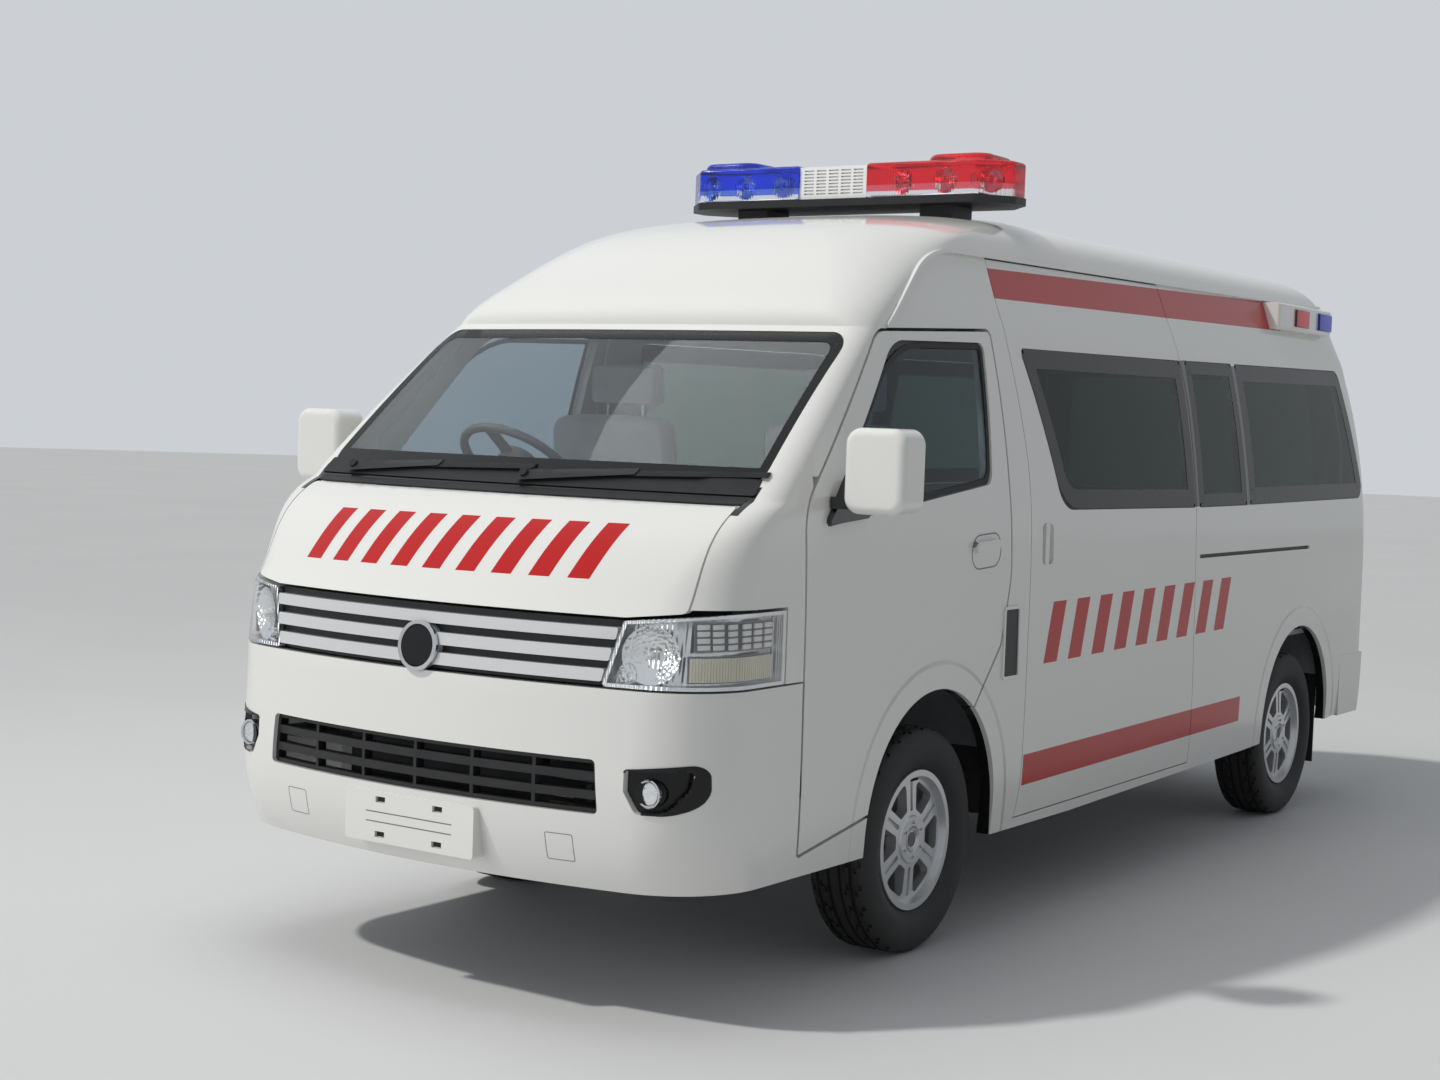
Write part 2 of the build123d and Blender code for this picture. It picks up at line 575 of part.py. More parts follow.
# Lower grille: a surround with two bars and five ribs
lattice = front_cut(AIR_OPENING, AIR_RADII, FRONT_CLEAR, fa(-900), -0.5)
openings = front_cut(AIR_OPENING, AIR_RADII, FRONT_CLEAR, fa(-900), -12)
for height in AIR_BARS:
    openings = openings - box(-700, 700, FRONT_CLEAR, fa(-900), height - 11, height + 11)
for x in AIR_RIBS:
    openings = openings - box(x - 5, x + 5, FRONT_CLEAR, fa(-900), 500, 700)
write("lower_grille", piece(lattice - openings, 14, 44, "lower"))
fog_plate = piece(front_cut(FOG, FOG_RADII, FRONT_CLEAR, fa(-900), -0.5), 18, 34, "lower")
fog_lamp = rod((FOG_X, fa(-1300), FOG_Z), (FOG_X, fa(-1160), FOG_Z), FOG_RADIUS) & stack(8, "lower")
write("fog_lamps", both(fog_plate + fog_lamp))

# Headlamps: a clear lens over a deep housing
lamp_room_front = front_cut(LAMP_FRONT, [10, 10, 0, 0], FRONT_CLEAR, fa(LAMP_BACK))
lamp_mouth = front_cut(LAMP_FRONT, [10, 10, 0, 0], FRONT_CLEAR, fa(LAMP_BACK - 9), -9)
write("headlamp_lenses", both(piece(lamp_room_front, 0, LENS, "nose", "bonnet")))
housing = piece(lamp_room_front, LENS + SEAT_GAP, FRONT_DEPTH, "nose", "bonnet")
housing = housing - (lamp_mouth - stack(LENS + 40, "nose", "bonnet"))
write("headlamps", both(housing))

# Grille: three bright bars with a round badge over a dark backing
bars = front_cut(GRILLE_BARS[0], [6] * 4, FRONT_CLEAR, fa(-900))
for points in GRILLE_BARS[1:]:
    bars = bars + front_cut(points, [6] * 4, FRONT_CLEAR, fa(-900))
ring = rod((0, fa(-1310), BADGE_Z), (0, fa(-1200), BADGE_Z), BADGE_RADIUS)
grille = piece(bars, -2, 20, "nose") + piece(ring, -8, 20, "nose")
write("grille", grille)
write("grille_mesh", piece(
    front_cut(GRILLE, GRILLE_RADII, FRONT_CLEAR, fa(-900)), 20 + SEAT_GAP, FRONT_DEPTH, "nose"))

# Support panel behind the lamps and the grille, with the radiator
support = piece(box(-800, 800, FRONT_CLEAR, fa(-1000), 700, BONNET_LIP - 10),
                FRONT_DEPTH + SEAT_GAP, FRONT_DEPTH + 14, "lower", "nose")
for x in (-420, 420):
    support = support + piece(box(x - 20, x + 20, FRONT_CLEAR, fa(-1000), 720, 770),
                              BUMPER_WALL + SEAT_GAP, FRONT_DEPTH + 14, "lower")
support = support + box(-RADIATOR_HALF, RADIATOR_HALF, fa(-1196), fa(-1150), 480.3, 860)
support = support + (box(-RADIATOR_HALF, RADIATOR_HALF, fa(-1260), fa(-1150), 830, 860) & stack(FRONT_DEPTH + 2, "lower", "nose"))
write("radiator", support)

# Rear bumper
rear_region = box(-HALF_WIDTH + 0.5, HALF_WIDTH - 0.5, fa(REAR_BUMPER_FRONT) + 0.5, REAR_CLEAR, 362, REAR_BUMPER_TOP - 0.5)
rear_region = rear_region - rear_arch - mirrored(rear_arch)
write("rear_bumper", piece(rear_region, -20, 25, "lower"))

# Light bar on the roof
bar_y = fa(BAR_Y)


def bar_block(inset, z0, z1):
    """The light bar's outline seen from above, drawn up between two heights."""
    half, deep = BAR_HALF - inset, BAR_DEPTH / 2 - inset
    corner, tip = BAR_END
    right = [(half, -tip), (half, tip), (corner, deep), (-corner, deep)]
    outline = Polyline(*right, *[(-x, -y) for x, y in right], close=True)
    outline = fillet(make_face(outline).vertices(), 24)
    return Pos(0, bar_y, z0) * extrude(outline, amount=z1 - z0)


base = bar_block(0, BAR_Z, BAR_Z + 24)
for x in (-360, 360):
    foot = box(x - 60, x + 60, bar_y - 70, bar_y + 70, 2200, BAR_Z + 4)
    base = base + (foot - stack(-SEAT_GAP, "roof"))
write("light_bar", base)
lens_solid = bar_block(6, BAR_LENS_Z, BAR_TOP) & box(SPEAKER_HALF, BAR_HALF, bar_y - 200, bar_y + 200, BAR_Z, 2500)
lens_solid = fillet(lens_solid.faces().sort_by(Axis.Z)[-1].edges(), 12)
dome = box(*BAR_DOME, bar_y - 112, bar_y + 112, BAR_TOP - 30, BAR_DOME_TOP)
dome = fillet(dome.edges().filter_by(Axis.Z), 60)
lens_solid = lens_solid + fillet(dome.faces().sort_by(Axis.Z)[-1].edges(), 18)
speaker = box(-SPEAKER_HALF + 0.5, SPEAKER_HALF - 0.5, bar_y - BAR_DEPTH / 2 + 14, bar_y + BAR_DEPTH / 2 - 14, BAR_LENS_Z, BAR_TOP - 6)
for z in range(int(BAR_Z) + 40, int(BAR_TOP) - 18, 11):
    for x in range(-96, 97, 48):
        speaker = speaker - box(x - 19, x + 19, FRONT_CLEAR, bar_y - BAR_DEPTH / 2 + 24, z, z + 5)
write("speaker", speaker)

# Marker lamps on both sides of the roof
marker = box(600, MARKER_X, fa(MARKER_Y[0]), fa(MARKER_Y[1]), *MARKER_Z)
marker = fillet(marker.faces().sort_by(Axis.X)[-1].edges(), 14) - stack(-SEAT_GAP, "screen", "roof")
write("marker_housings", both(marker))
marker_lenses = []
for y0, y1 in MARKER_LENSES:
    lens = box(MARKER_X + SEAT_GAP, MARKER_X + 9, fa(y0), fa(y1), MARKER_Z[0] + 18, MARKER_Z[1] - 18)
    marker_lenses.append(fillet(lens.faces().sort_by(Axis.X)[-1].edges(), 5))
write("red_lenses", Compound([*lens_solid.solids(), *both(marker_lenses[0]).solids()]))
write("blue_lenses", Compound([*mirrored(lens_solid).solids(), *both(marker_lenses[1]).solids()]))

# Floor: footwell, seat platform, load floor and wheel houses in one sheet
inside = stack(WALL + SEAT_GAP, "lower", "nose")
foot_half = POST_INNER - SEAT_GAP
floor = box(-foot_half, foot_half, fa(-1140), fa(-430), FOOT_Z, FOOT_Z + FLOOR)
floor = floor + box(-740, 740, fa(-450), fa(-430), FOOT_Z, SEAT_Z)
floor = floor + box(-740, 740, fa(-450), fa(500), SEAT_Z - FLOOR, SEAT_Z)
floor = floor + box(-740, 740, fa(480), fa(500), LOAD_Z, SEAT_Z)
load = box(-side_room, side_room, fa(480), fa(3900), LOAD_Z, LOAD_Z + FLOOR)
house = box(HOUSE_X, side_room, REAR_AXLE - HOUSE_Y, REAR_AXLE + HOUSE_Y, LOAD_Z, HOUSE_Z)
house_room = box(HOUSE_X + FLOOR, side_room, REAR_AXLE - HOUSE_Y + FLOOR, REAR_AXLE + HOUSE_Y - FLOOR, 0, HOUSE_Z - FLOOR)
load = load + house + mirrored(house)
load = (load - house_room - mirrored(house_room)) & inside
floor = floor + load
write("floor", floor)

# Dashboard with the steering column
wheel_up = Vector(0, sin(radians(WHEEL_TILT)), cos(radians(WHEEL_TILT)))
wheel_centre = Vector(-SEAT_X, fa(WHEEL_Y), WHEEL_Z)
dash = side_cut(DASH, [20, 30, 40, 20, 10, 10], -POST_INNER + SEAT_GAP, POST_INNER - SEAT_GAP)
column_top = wheel_centre - wheel_up * 20
dash = dash + rod(tuple(column_top - wheel_up * 260), tuple(column_top), 26)
dash = dash + rod(tuple(column_top), tuple(wheel_centre + wheel_up * 10), 10)
write("dashboard", dash)
hub = rod(tuple(wheel_centre - wheel_up * 19.7), tuple(wheel_centre + wheel_up * 24), 62)
hub = hub - rod(tuple(wheel_centre - wheel_up * 30), tuple(wheel_centre + wheel_up * 12), 10 + RUNNING_GAP)
wheel_plane = Plane(wheel_centre + wheel_up * 4, x_dir=(1, 0, 0), z_dir=wheel_up)
grip = revolve(Plane.XZ * Pos(WHEEL_RADIUS - 14, 0) * RegularPolygon(14, 8), axis=Axis.Z)
steering_wheel = hub + wheel_plane * grip
for turn in (0, 180, 270):
    spoke = Rot(0, 0, turn) * Pos(110, 0, 0) * Box(120, 34, 14)
    steering_wheel = steering_wheel + wheel_plane * spoke
write("steering_wheel", steering_wheel)

# Seats
seat = side_cut(SEAT_BACK, [20, 40, 40, 30], -SEAT_WIDTH / 2, SEAT_WIDTH / 2)
seat = seat + side_cut(SEAT_CUSHION, [10, 40, 30, 10], -SEAT_WIDTH / 2, SEAT_WIDTH / 2)
seat = seat + side_cut(HEADREST, [30, 30, 30, 30], -130, 130)
for x in (-70, 70):
    seat = seat + rod((x, fa(150), 1500), (x, fa(135), 1600), 8)
write("seats", Compound([*(Pos(-SEAT_X, 0, 0) * seat).solids(), *(Pos(SEAT_X, 0, 0) * seat).solids()]))

# Chassis: two rails, cross members, the front beam and the spring hangers
rail_shape = side_cut(RAIL, [0, 0, 0, 0], RAIL_X[0], RAIL_X[1])
chassis = rail_shape + mirrored(rail_shape)
chassis = chassis + (box(-560, 560, FRONT_CLEAR, fa(-1150), RAIL_Z[0], RAIL_Z[1]) & stack(BUMPER_WALL + SEAT_GAP, "lower"))
for y in CROSS_MEMBERS:
    chassis = chassis + box(-RAIL_X[0] - 5, RAIL_X[0] + 5, fa(y), fa(y + 60), RAIL_Z[0] + 5, RAIL_Z[1] - 50)
for x0, x1 in ((RAIL_X[0] + 20, 800), (-800, -RAIL_X[0] - 20)):
    for y in OUTRIGGERS:
        chassis = chassis + (box(x0, x1, fa(y), fa(y + 40), RAIL_Z[1] - 10, LOAD_Z - SEAT_GAP) & inside)
for x0, x1 in ((RAIL_X[1] - 5, SPRING_X[1]), (-SPRING_X[1], -RAIL_X[1] + 5)):
    for y in (-SPRING_REACH, SPRING_REACH):
        chassis = chassis + box(x0, x1, REAR_AXLE + y - 20, REAR_AXLE + y + 20, 456.3, RAIL_Z[1])
chassis = chassis + box(-foot_half, foot_half, fa(-800), fa(-740), RAIL_Z[1] - 60, RAIL_Z[1] - 20)
write("chassis", chassis)

# Engine block
engine = box(-ENGINE_HALF, ENGINE_HALF, fa(-350), fa(450), 450, 850)
engine = engine + box(-RAIL_X[0] + SEAT_GAP, RAIL_X[0] - SEAT_GAP, fa(-60), fa(60), 430, 470)
write("engine", engine)

# Front suspension arms with the steering pins
axle_arms = box(-KINGPIN_X - 20, KINGPIN_X + 20, FRONT_AXLE - 38, FRONT_AXLE + 38, LOWER_ARM_Z - 15, LOWER_ARM_Z + 15)
axle_arms = axle_arms + box(-320, 320, FRONT_AXLE - 60, FRONT_AXLE + 60, LOWER_ARM_Z - 15, 330)
for x in (RAIL_X[1] + SEAT_GAP, -RAIL_X[1] - SEAT_GAP - 30):
    axle_arms = axle_arms + box(x, x + 30, FRONT_AXLE - 38, FRONT_AXLE + 38, LOWER_ARM_Z - 15, UPPER_ARM_Z + 15)
for side in (-1, 1):
    x0, x1 = sorted((side * (RAIL_X[1] + 5), side * (KINGPIN_X + 20)))
    axle_arms = axle_arms + box(x0, x1, FRONT_AXLE - 38, FRONT_AXLE + 38, UPPER_ARM_Z - 15, UPPER_ARM_Z + 15)
    pin_x = side * KINGPIN_X
    axle_arms = axle_arms + rod((pin_x, FRONT_AXLE, LOWER_ARM_Z), (pin_x, FRONT_AXLE, LOWER_ARM_Z + 48), KINGPIN_RADIUS)
    axle_arms = axle_arms + rod((pin_x, FRONT_AXLE, UPPER_ARM_Z - 48), (pin_x, FRONT_AXLE, UPPER_ARM_Z), KINGPIN_RADIUS)
write("front_suspension", axle_arms)

# Steering knuckle with its brake disc and spindle
knuckle = box(KINGPIN_X - 24, KINGPIN_X + 28, FRONT_AXLE - 36, FRONT_AXLE + 36, LOWER_ARM_Z + 15 + SEAT_GAP, UPPER_ARM_Z - 15 - SEAT_GAP)
for z0, z1 in ((LOWER_ARM_Z, LOWER_ARM_Z + 50), (UPPER_ARM_Z - 50, UPPER_ARM_Z)):
    knuckle = knuckle - rod((KINGPIN_X, FRONT_AXLE, z0), (KINGPIN_X, FRONT_AXLE, z1), KINGPIN_RADIUS + RUNNING_GAP)
knuckle = knuckle + rod((KINGPIN_X + 20, FRONT_AXLE, TYRE_RADIUS), (TRACK / 2 + 68, FRONT_AXLE, TYRE_RADIUS), SPINDLE_RADIUS)
knuckle = knuckle + rod((KINGPIN_X + 50, FRONT_AXLE, TYRE_RADIUS), (KINGPIN_X + 72, FRONT_AXLE, TYRE_RADIUS), BRAKE_RADIUS)
write("knuckle_left", knuckle)
write("knuckle_right", mirrored(knuckle))

# Rear axle with its drums, and the propeller shaft
rear_axle = rod((-TRACK / 2 - 68, REAR_AXLE, TYRE_RADIUS), (TRACK / 2 + 68, REAR_AXLE, TYRE_RADIUS), SPINDLE_RADIUS)
rear_axle = rear_axle + rod((-600, REAR_AXLE, TYRE_RADIUS), (600, REAR_AXLE, TYRE_RADIUS), AXLE_TUBE)
rear_axle = rear_axle + Pos(0, REAR_AXLE, TYRE_RADIUS) * Sphere(DIFF_RADIUS)
for x0, x1 in ((596, 684), (-684, -596)):
    rear_axle = rear_axle + rod((x0, REAR_AXLE, TYRE_RADIUS), (x1, REAR_AXLE, TYRE_RADIUS), DRUM_RADIUS)
rear_axle = rear_axle + rod((0, fa(453.2), 500), (0, REAR_AXLE, TYRE_RADIUS), 36)
write("rear_axle", rear_axle)

# Leaf springs
spring = side_cut(SPRING, [0, 600, 0, 0, 600, 0], *SPRING_X)
spring = spring + box(*SPRING_X, REAR_AXLE - 40, REAR_AXLE + 40, 345, 390)
spring = spring - rod((SPRING_X[0] - 5, REAR_AXLE, TYRE_RADIUS), (SPRING_X[1] + 5, REAR_AXLE, TYRE_RADIUS), AXLE_TUBE + SEAT_GAP)
write("leaf_springs", both(spring))

# Exhaust, fuel tank and mud flaps
exhaust = tube([(-200, fa(400), 420), (-200, fa(700), 330), (-200, fa(2500), 330), (-200, fa(2720), 300)], 28, 80)
exhaust = exhaust + rod((-200, fa(1400), 330), (-200, fa(2000), 330), 85)
for y in (900, 2300):
    exhaust = exhaust + box(-RAIL_X[0] + SEAT_GAP, -200, fa(y), fa(y + 30), 320, RAIL_Z[0] + 30)
write("exhaust", exhaust)
tank = fillet(box(RAIL_X[1] + SEAT_GAP, 720, fa(900), fa(1900), 250, RAIL_Z[1] - 15).edges(), 40)
write("fuel_tank", tank)
flap = box(625, 790, REAR_AXLE + HOUSE_Y + 4, REAR_AXLE + HOUSE_Y + 10, 170, LOAD_Z - SEAT_GAP)
write("mud_flaps", both(flap))

# Wheels, drawn round the axle line at the origin with their outer side towards +X
BEAD = BEAD_RADIUS - SEAT_GAP
BARREL = BEAD_RADIUS - 12
rim_half = [
    (-RIM_HALF, BARREL), (-RIM_HALF, RIM_LIP_RADIUS), (-RIM_HALF + 7.5, RIM_LIP_RADIUS), (-RIM_HALF + 7.5, BEAD),
    (RIM_HALF - 7.5, BEAD), (RIM_HALF - 7.5, RIM_LIP_RADIUS), (RIM_HALF, RIM_LIP_RADIUS), (RIM_HALF, BARREL + 4),
    (RIM_HALF - 22, BARREL - 4), (RIM_HALF - 16, HUB_RADIUS), (RIM_HALF - 10, HUB_RADIUS - 4),
    (RIM_HALF - 10, 40), (RIM_HALF - 16, 36), (RIM_HALF - 16, SPINDLE_RADIUS + RUNNING_GAP),
    (-2, SPINDLE_RADIUS + RUNNING_GAP), (-2, 60), (28, HUB_RADIUS), (RIM_HALF - 46, BARREL),
]
rim = revolve(make_face(Polyline(*rim_half, close=True)), axis=Axis.X)
hole = side_cut([(-20, 86), (-60, 166), (60, 166), (20, 86)], [12, 16, 16, 12], 0, 100)
groove = box(RIM_HALF - 26, 100, -7, 7, 84, 168)
for spoke in range(SPOKES):
    turn = spoke * 360 / SPOKES
    rim = rim - Rot(turn + 180 / SPOKES, 0, 0) * hole
    rim = rim - Rot(turn, 0, 0) * groove
outside = [(x, BEAD_RADIUS + rise) for x, rise in TYRE_OUTSIDE]
inside_wall = [(x - TYRE_WALL, max(BEAD_RADIUS + rise - (TYRE_WALL if rise > 120 else 0), BEAD_RADIUS)) for x, rise in TYRE_OUTSIDE]
ring = outside + [(-x, r) for x, r in reversed(outside)] + [(-x, r) for x, r in inside_wall] + list(reversed(inside_wall))
tyre = revolve(make_face(Polyline(*ring, close=True)), axis=Axis.X)
for name, axle, side in (
        ("front_left", FRONT_AXLE, 1), ("front_right", FRONT_AXLE, -1),
        ("rear_left", REAR_AXLE, 1), ("rear_right", REAR_AXLE, -1)):
    place = Pos(side * TRACK / 2, axle, TYRE_RADIUS)
    write(f"rim_{name}", place * (rim if side > 0 else mirrored(rim)))
    write(f"tyre_{name}", place * tyre)
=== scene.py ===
# %% [markdown]
# # A high-roof ambulance, dressed
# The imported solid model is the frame: every panel, pane and wheel is already in its real place.
# This lesson gives those solids their finishes, and adds the small pieces that make a van look
# like a real one, such as tread blocks, reflectors, seals, wiper arms and wheel nuts.
# Everything is in metres. The nose looks along -Y, +X is the vehicle's left side, and +Z is up.

# %% Load the frame
import json
import math
import bmesh
import bpy
from mathutils import Matrix, Vector
from mathutils.bvhtree import BVHTree

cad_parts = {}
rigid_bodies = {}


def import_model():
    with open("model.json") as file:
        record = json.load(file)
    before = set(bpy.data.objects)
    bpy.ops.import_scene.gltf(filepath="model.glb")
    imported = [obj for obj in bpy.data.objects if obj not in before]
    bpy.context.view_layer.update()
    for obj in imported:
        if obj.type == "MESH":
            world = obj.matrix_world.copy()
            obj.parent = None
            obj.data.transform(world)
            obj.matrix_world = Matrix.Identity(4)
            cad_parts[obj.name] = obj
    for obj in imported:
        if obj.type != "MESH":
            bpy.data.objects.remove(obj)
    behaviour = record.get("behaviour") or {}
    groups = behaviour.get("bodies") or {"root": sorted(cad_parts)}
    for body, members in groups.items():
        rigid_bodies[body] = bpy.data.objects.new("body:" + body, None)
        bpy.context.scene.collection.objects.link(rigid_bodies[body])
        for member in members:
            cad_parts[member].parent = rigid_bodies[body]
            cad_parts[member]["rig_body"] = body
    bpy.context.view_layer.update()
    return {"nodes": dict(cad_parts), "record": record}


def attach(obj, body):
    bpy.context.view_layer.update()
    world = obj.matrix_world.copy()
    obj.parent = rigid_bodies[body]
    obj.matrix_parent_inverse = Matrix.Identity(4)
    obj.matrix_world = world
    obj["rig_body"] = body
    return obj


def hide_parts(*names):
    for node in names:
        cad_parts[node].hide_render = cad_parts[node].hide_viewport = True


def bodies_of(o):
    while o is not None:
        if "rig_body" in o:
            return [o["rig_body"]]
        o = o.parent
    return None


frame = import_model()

FRONT_AXLE = -1.335
REAR_AXLE = 1.775
TYRE_RADIUS = 0.333

# %% [markdown]
# ## The camera
# The photograph was taken from beyond the left front corner, a little above a person's chest.
# The camera's place and turn were solved from the wheels and the body's lines, so the render
# can be laid over the photograph. Its three axes are worked out from yaw, pitch and roll.

# %% Camera
CAMERA_PLACE = Vector((3.7851, -6.8409, 1.5413))
SENSOR_WIDTH = 36
FOCAL_LENGTH = 53.668
YAW, PITCH, ROLL = (math.radians(a) for a in (-34.0732, -3.1938, 2.0051))
ahead = Vector((math.sin(YAW) * math.cos(PITCH), math.cos(YAW) * math.cos(PITCH), math.sin(PITCH)))
level = ahead.cross(Vector((0, 0, 1))).normalized()
upright = level.cross(ahead)
right = level * math.cos(ROLL) + upright * math.sin(ROLL)
top = upright * math.cos(ROLL) - level * math.sin(ROLL)
camera_data = bpy.data.cameras.new("photo_camera")
camera_data.sensor_width = SENSOR_WIDTH
camera_data.lens = FOCAL_LENGTH
camera = bpy.data.objects.new("photo_camera", camera_data)
bpy.context.scene.collection.objects.link(camera)
camera.matrix_world = Matrix((
    (right.x, top.x, -ahead.x, CAMERA_PLACE.x),
    (right.y, top.y, -ahead.y, CAMERA_PLACE.y),
    (right.z, top.z, -ahead.z, CAMERA_PLACE.z),
    (0, 0, 0, 1)))
bpy.context.scene.camera = camera
print("camera looks along", [round(a, 3) for a in ahead])

# %% [markdown]
# ## Soft studio light
# White paint shows its shape through slow changes of brightness. In the photograph the nose and
# the roof are in the light and the left side is in shade, so the sun stands over the right front,
# and the world fills the rest. The world looks pale to the camera, in metal and through glass,
# but it lights the van with a lower strength. No lamp shows as a shape in the glass or the paint.

# %% World, lamps and floor
SKY_COLOUR = (0.86, 0.90, 0.95, 1)
LIGHT_STRENGTH = 0.29
SEEN_STRENGTH = 0.70
scene = bpy.context.scene
scene.view_settings.view_transform = "Standard"
world = bpy.data.worlds.new("studio")
scene.world = world
world.use_nodes = True
sky = world.node_tree
backdrop = sky.nodes["Background"]
backdrop.inputs["Color"].default_value = SKY_COLOUR
light_path = sky.nodes.new("ShaderNodeLightPath")
seen = light_path.outputs["Is Camera Ray"]
for kind in ("Is Glossy Ray", "Is Transmission Ray"):
    either = sky.nodes.new("ShaderNodeMath")
    either.operation = "MAXIMUM"
    sky.links.new(seen, either.inputs[0])
    sky.links.new(light_path.outputs[kind], either.inputs[1])
    seen = either.outputs[0]
strength = sky.nodes.new("ShaderNodeMapRange")
strength.inputs["To Min"].default_value = LIGHT_STRENGTH
strength.inputs["To Max"].default_value = SEEN_STRENGTH
sky.links.new(seen, strength.inputs["Value"])
sky.links.new(strength.outputs[0], backdrop.inputs["Strength"])


def lamp(name, kind, place, target, energy, **settings):
    """A lamp at a place that points at a target."""
    data = bpy.data.lights.new(name, kind)
    data.energy = energy
    for key, value in settings.items():
        setattr(data, key, value)
    obj = bpy.data.objects.new(name, data)
    scene.collection.objects.link(obj)
    obj.location = place
    obj.rotation_euler = (Vector(target) - Vector(place)).to_track_quat("-Z", "Y").to_euler()
    obj.visible_glossy = False


lamp("sun", "SUN", (-5, -5.5, 9), (0, 0, 0), 1.75, angle=math.radians(3), color=(1.0, 0.98, 0.93))
lamp("overhead", "AREA", (-1.0, -1.5, 7), (-0.3, -0.5, 1), 110, size=5, shape="DISK")
lamp("front_fill", "AREA", (-3.0, -9.5, 2.6), (0, -2, 0.9), 120, size=4, shape="DISK")

# %% [markdown]
# ## Node groups that several finishes share
# Real surfaces are never one flat value. `speckle` gives slow and fine noise from the object's own
# coordinates. `road_film` is the thin dirt that gathers low on a vehicle. Each material could hold
# its own copy of these nodes. A group is built once instead, and gets its own values in each one.

# %% Group helpers
def new_group(name, inputs, outputs):
    """A shader group with these sockets. Returns the group, its input node and its output node."""
    group = bpy.data.node_groups.new(name, "ShaderNodeTree")
    for label, kind, value in inputs:
        socket = group.interface.new_socket(name=label, in_out="INPUT", socket_type=kind)
        socket.default_value = value
    for label, kind in outputs:
        group.interface.new_socket(name=label, in_out="OUTPUT", socket_type=kind)
    return group, group.nodes.new("NodeGroupInput"), group.nodes.new("NodeGroupOutput")


def wire(tree, value, socket):
    """Links an output to a socket, or sets the socket to a plain value."""
    if isinstance(value, bpy.types.NodeSocket):
        tree.links.new(value, socket)
    else:
        socket.default_value = value


def calc(tree, operation, *values):
    """One math node, with sockets or numbers as its inputs."""
    node = tree.nodes.new("ShaderNodeMath")
    node.operation = operation
    for value, socket in zip(values, node.inputs):
        wire(tree, value, socket)
    return node.outputs[0]


def every(tree, *masks):
    """The product of masks: 1 only where all of them are 1."""
    result = masks[0]
    for mask in masks[1:]:
        result = calc(tree, "MULTIPLY", result, mask)
    return result


def between(tree, value, low, high):
    """1 where the value lies between two others, 0 elsewhere."""
    return every(tree, calc(tree, "GREATER_THAN", value, low), calc(tree, "LESS_THAN", value, high))


def place_in(tree):
    """The Object coordinates as three separate values."""
    coordinates = tree.nodes.new("ShaderNodeTexCoord")
    split = tree.nodes.new("ShaderNodeSeparateXYZ")
    tree.links.new(coordinates.outputs["Object"], split.inputs[0])
    return split.outputs[0], split.outputs[1], split.outputs[2]


def group_in(tree, group, **values):
    """The group placed in a tree, with its inputs set or linked."""
    node = tree.nodes.new("ShaderNodeGroup")
    node.node_tree = group
    for label, value in values.items():
        wire(tree, value, node.inputs[label])
    return node


speckle, given, puts = new_group(
    "speckle", [("Scale", "NodeSocketFloat", 20.0)],
    [("Slow", "NodeSocketFloat"), ("Fine", "NodeSocketFloat")])
where = speckle.nodes.new("ShaderNodeTexCoord")
for label, factor, detail in (("Slow", 1.0, 2.0), ("Fine", 9.0, 5.0)):
    noise = speckle.nodes.new("ShaderNodeTexNoise")
    noise.inputs["Detail"].default_value = detail
    speckle.links.new(where.outputs["Object"], noise.inputs["Vector"])
    speckle.links.new(calc(speckle, "MULTIPLY", given.outputs["Scale"], factor), noise.inputs["Scale"])
    speckle.links.new(noise.outputs["Fac"], puts.inputs[label])

road_film, given, puts = new_group(
    "road_film", [("Top", "NodeSocketFloat", 0.5)], [("Mask", "NodeSocketFloat")])
x, y, z = place_in(road_film)
noise = road_film.nodes.new("ShaderNodeTexNoise")
noise.inputs["Scale"].default_value = 7.0
noise.inputs["Detail"].default_value = 6.0
falling = calc(road_film, "SUBTRACT", 1.0, calc(road_film, "DIVIDE", z, given.outputs["Top"]))
patchy = calc(road_film, "MULTIPLY", noise.outputs["Fac"], 0.6)
film = calc(road_film, "MULTIPLY", calc(road_film, "MAXIMUM", falling, 0.0), patchy)
road_film.links.new(film, puts.inputs["Mask"])
print("groups:", [g.name for g in bpy.data.node_groups])

# %% [markdown]
# ## One helper for every finish
# `surface` makes a material whose colour drifts between two tones, whose roughness drifts between
# two values, and whose fine bump comes from the same noise. `layer` puts another colour over it
# where a mask says so, such as a stripe on paint. `relief` adds bump from any height, and
# `patterned` makes that height with a texture. Plain settings go straight on the shader. With
# these helpers most finishes are one call, so they are easy to compare and to change.

# %% Surface helpers
def shader_of(material):
    """The material's Principled shader."""
    return material.node_tree.nodes["Principled BSDF"]


def surface(name, dark, light, scale=20.0, rough=(0.4, 0.5), bump=0.0, depth=0.001, **settings):
    """A Principled material with drifting colour, roughness and bump."""
    material = bpy.data.materials.new(name)
    material.use_nodes = True
    tree = material.node_tree
    shader = shader_of(material)
    tones = group_in(tree, speckle, Scale=scale)
    mix = tree.nodes.new("ShaderNodeMix")
    mix.data_type = "RGBA"
    mix.inputs["A"].default_value = (*dark, 1)
    mix.inputs["B"].default_value = (*light, 1)
    tree.links.new(tones.outputs["Slow"], mix.inputs["Factor"])
    tree.links.new(mix.outputs["Result"], shader.inputs["Base Color"])
    spread = tree.nodes.new("ShaderNodeMapRange")
    spread.inputs["To Min"].default_value, spread.inputs["To Max"].default_value = rough
    tree.links.new(tones.outputs["Fine"], spread.inputs["Value"])
    tree.links.new(spread.outputs[0], shader.inputs["Roughness"])
    if bump:
        relief(material, tones.outputs["Fine"], bump, depth)
    for socket, value in settings.items():
        shader.inputs[socket.replace("_", " ")].default_value = value
    return material


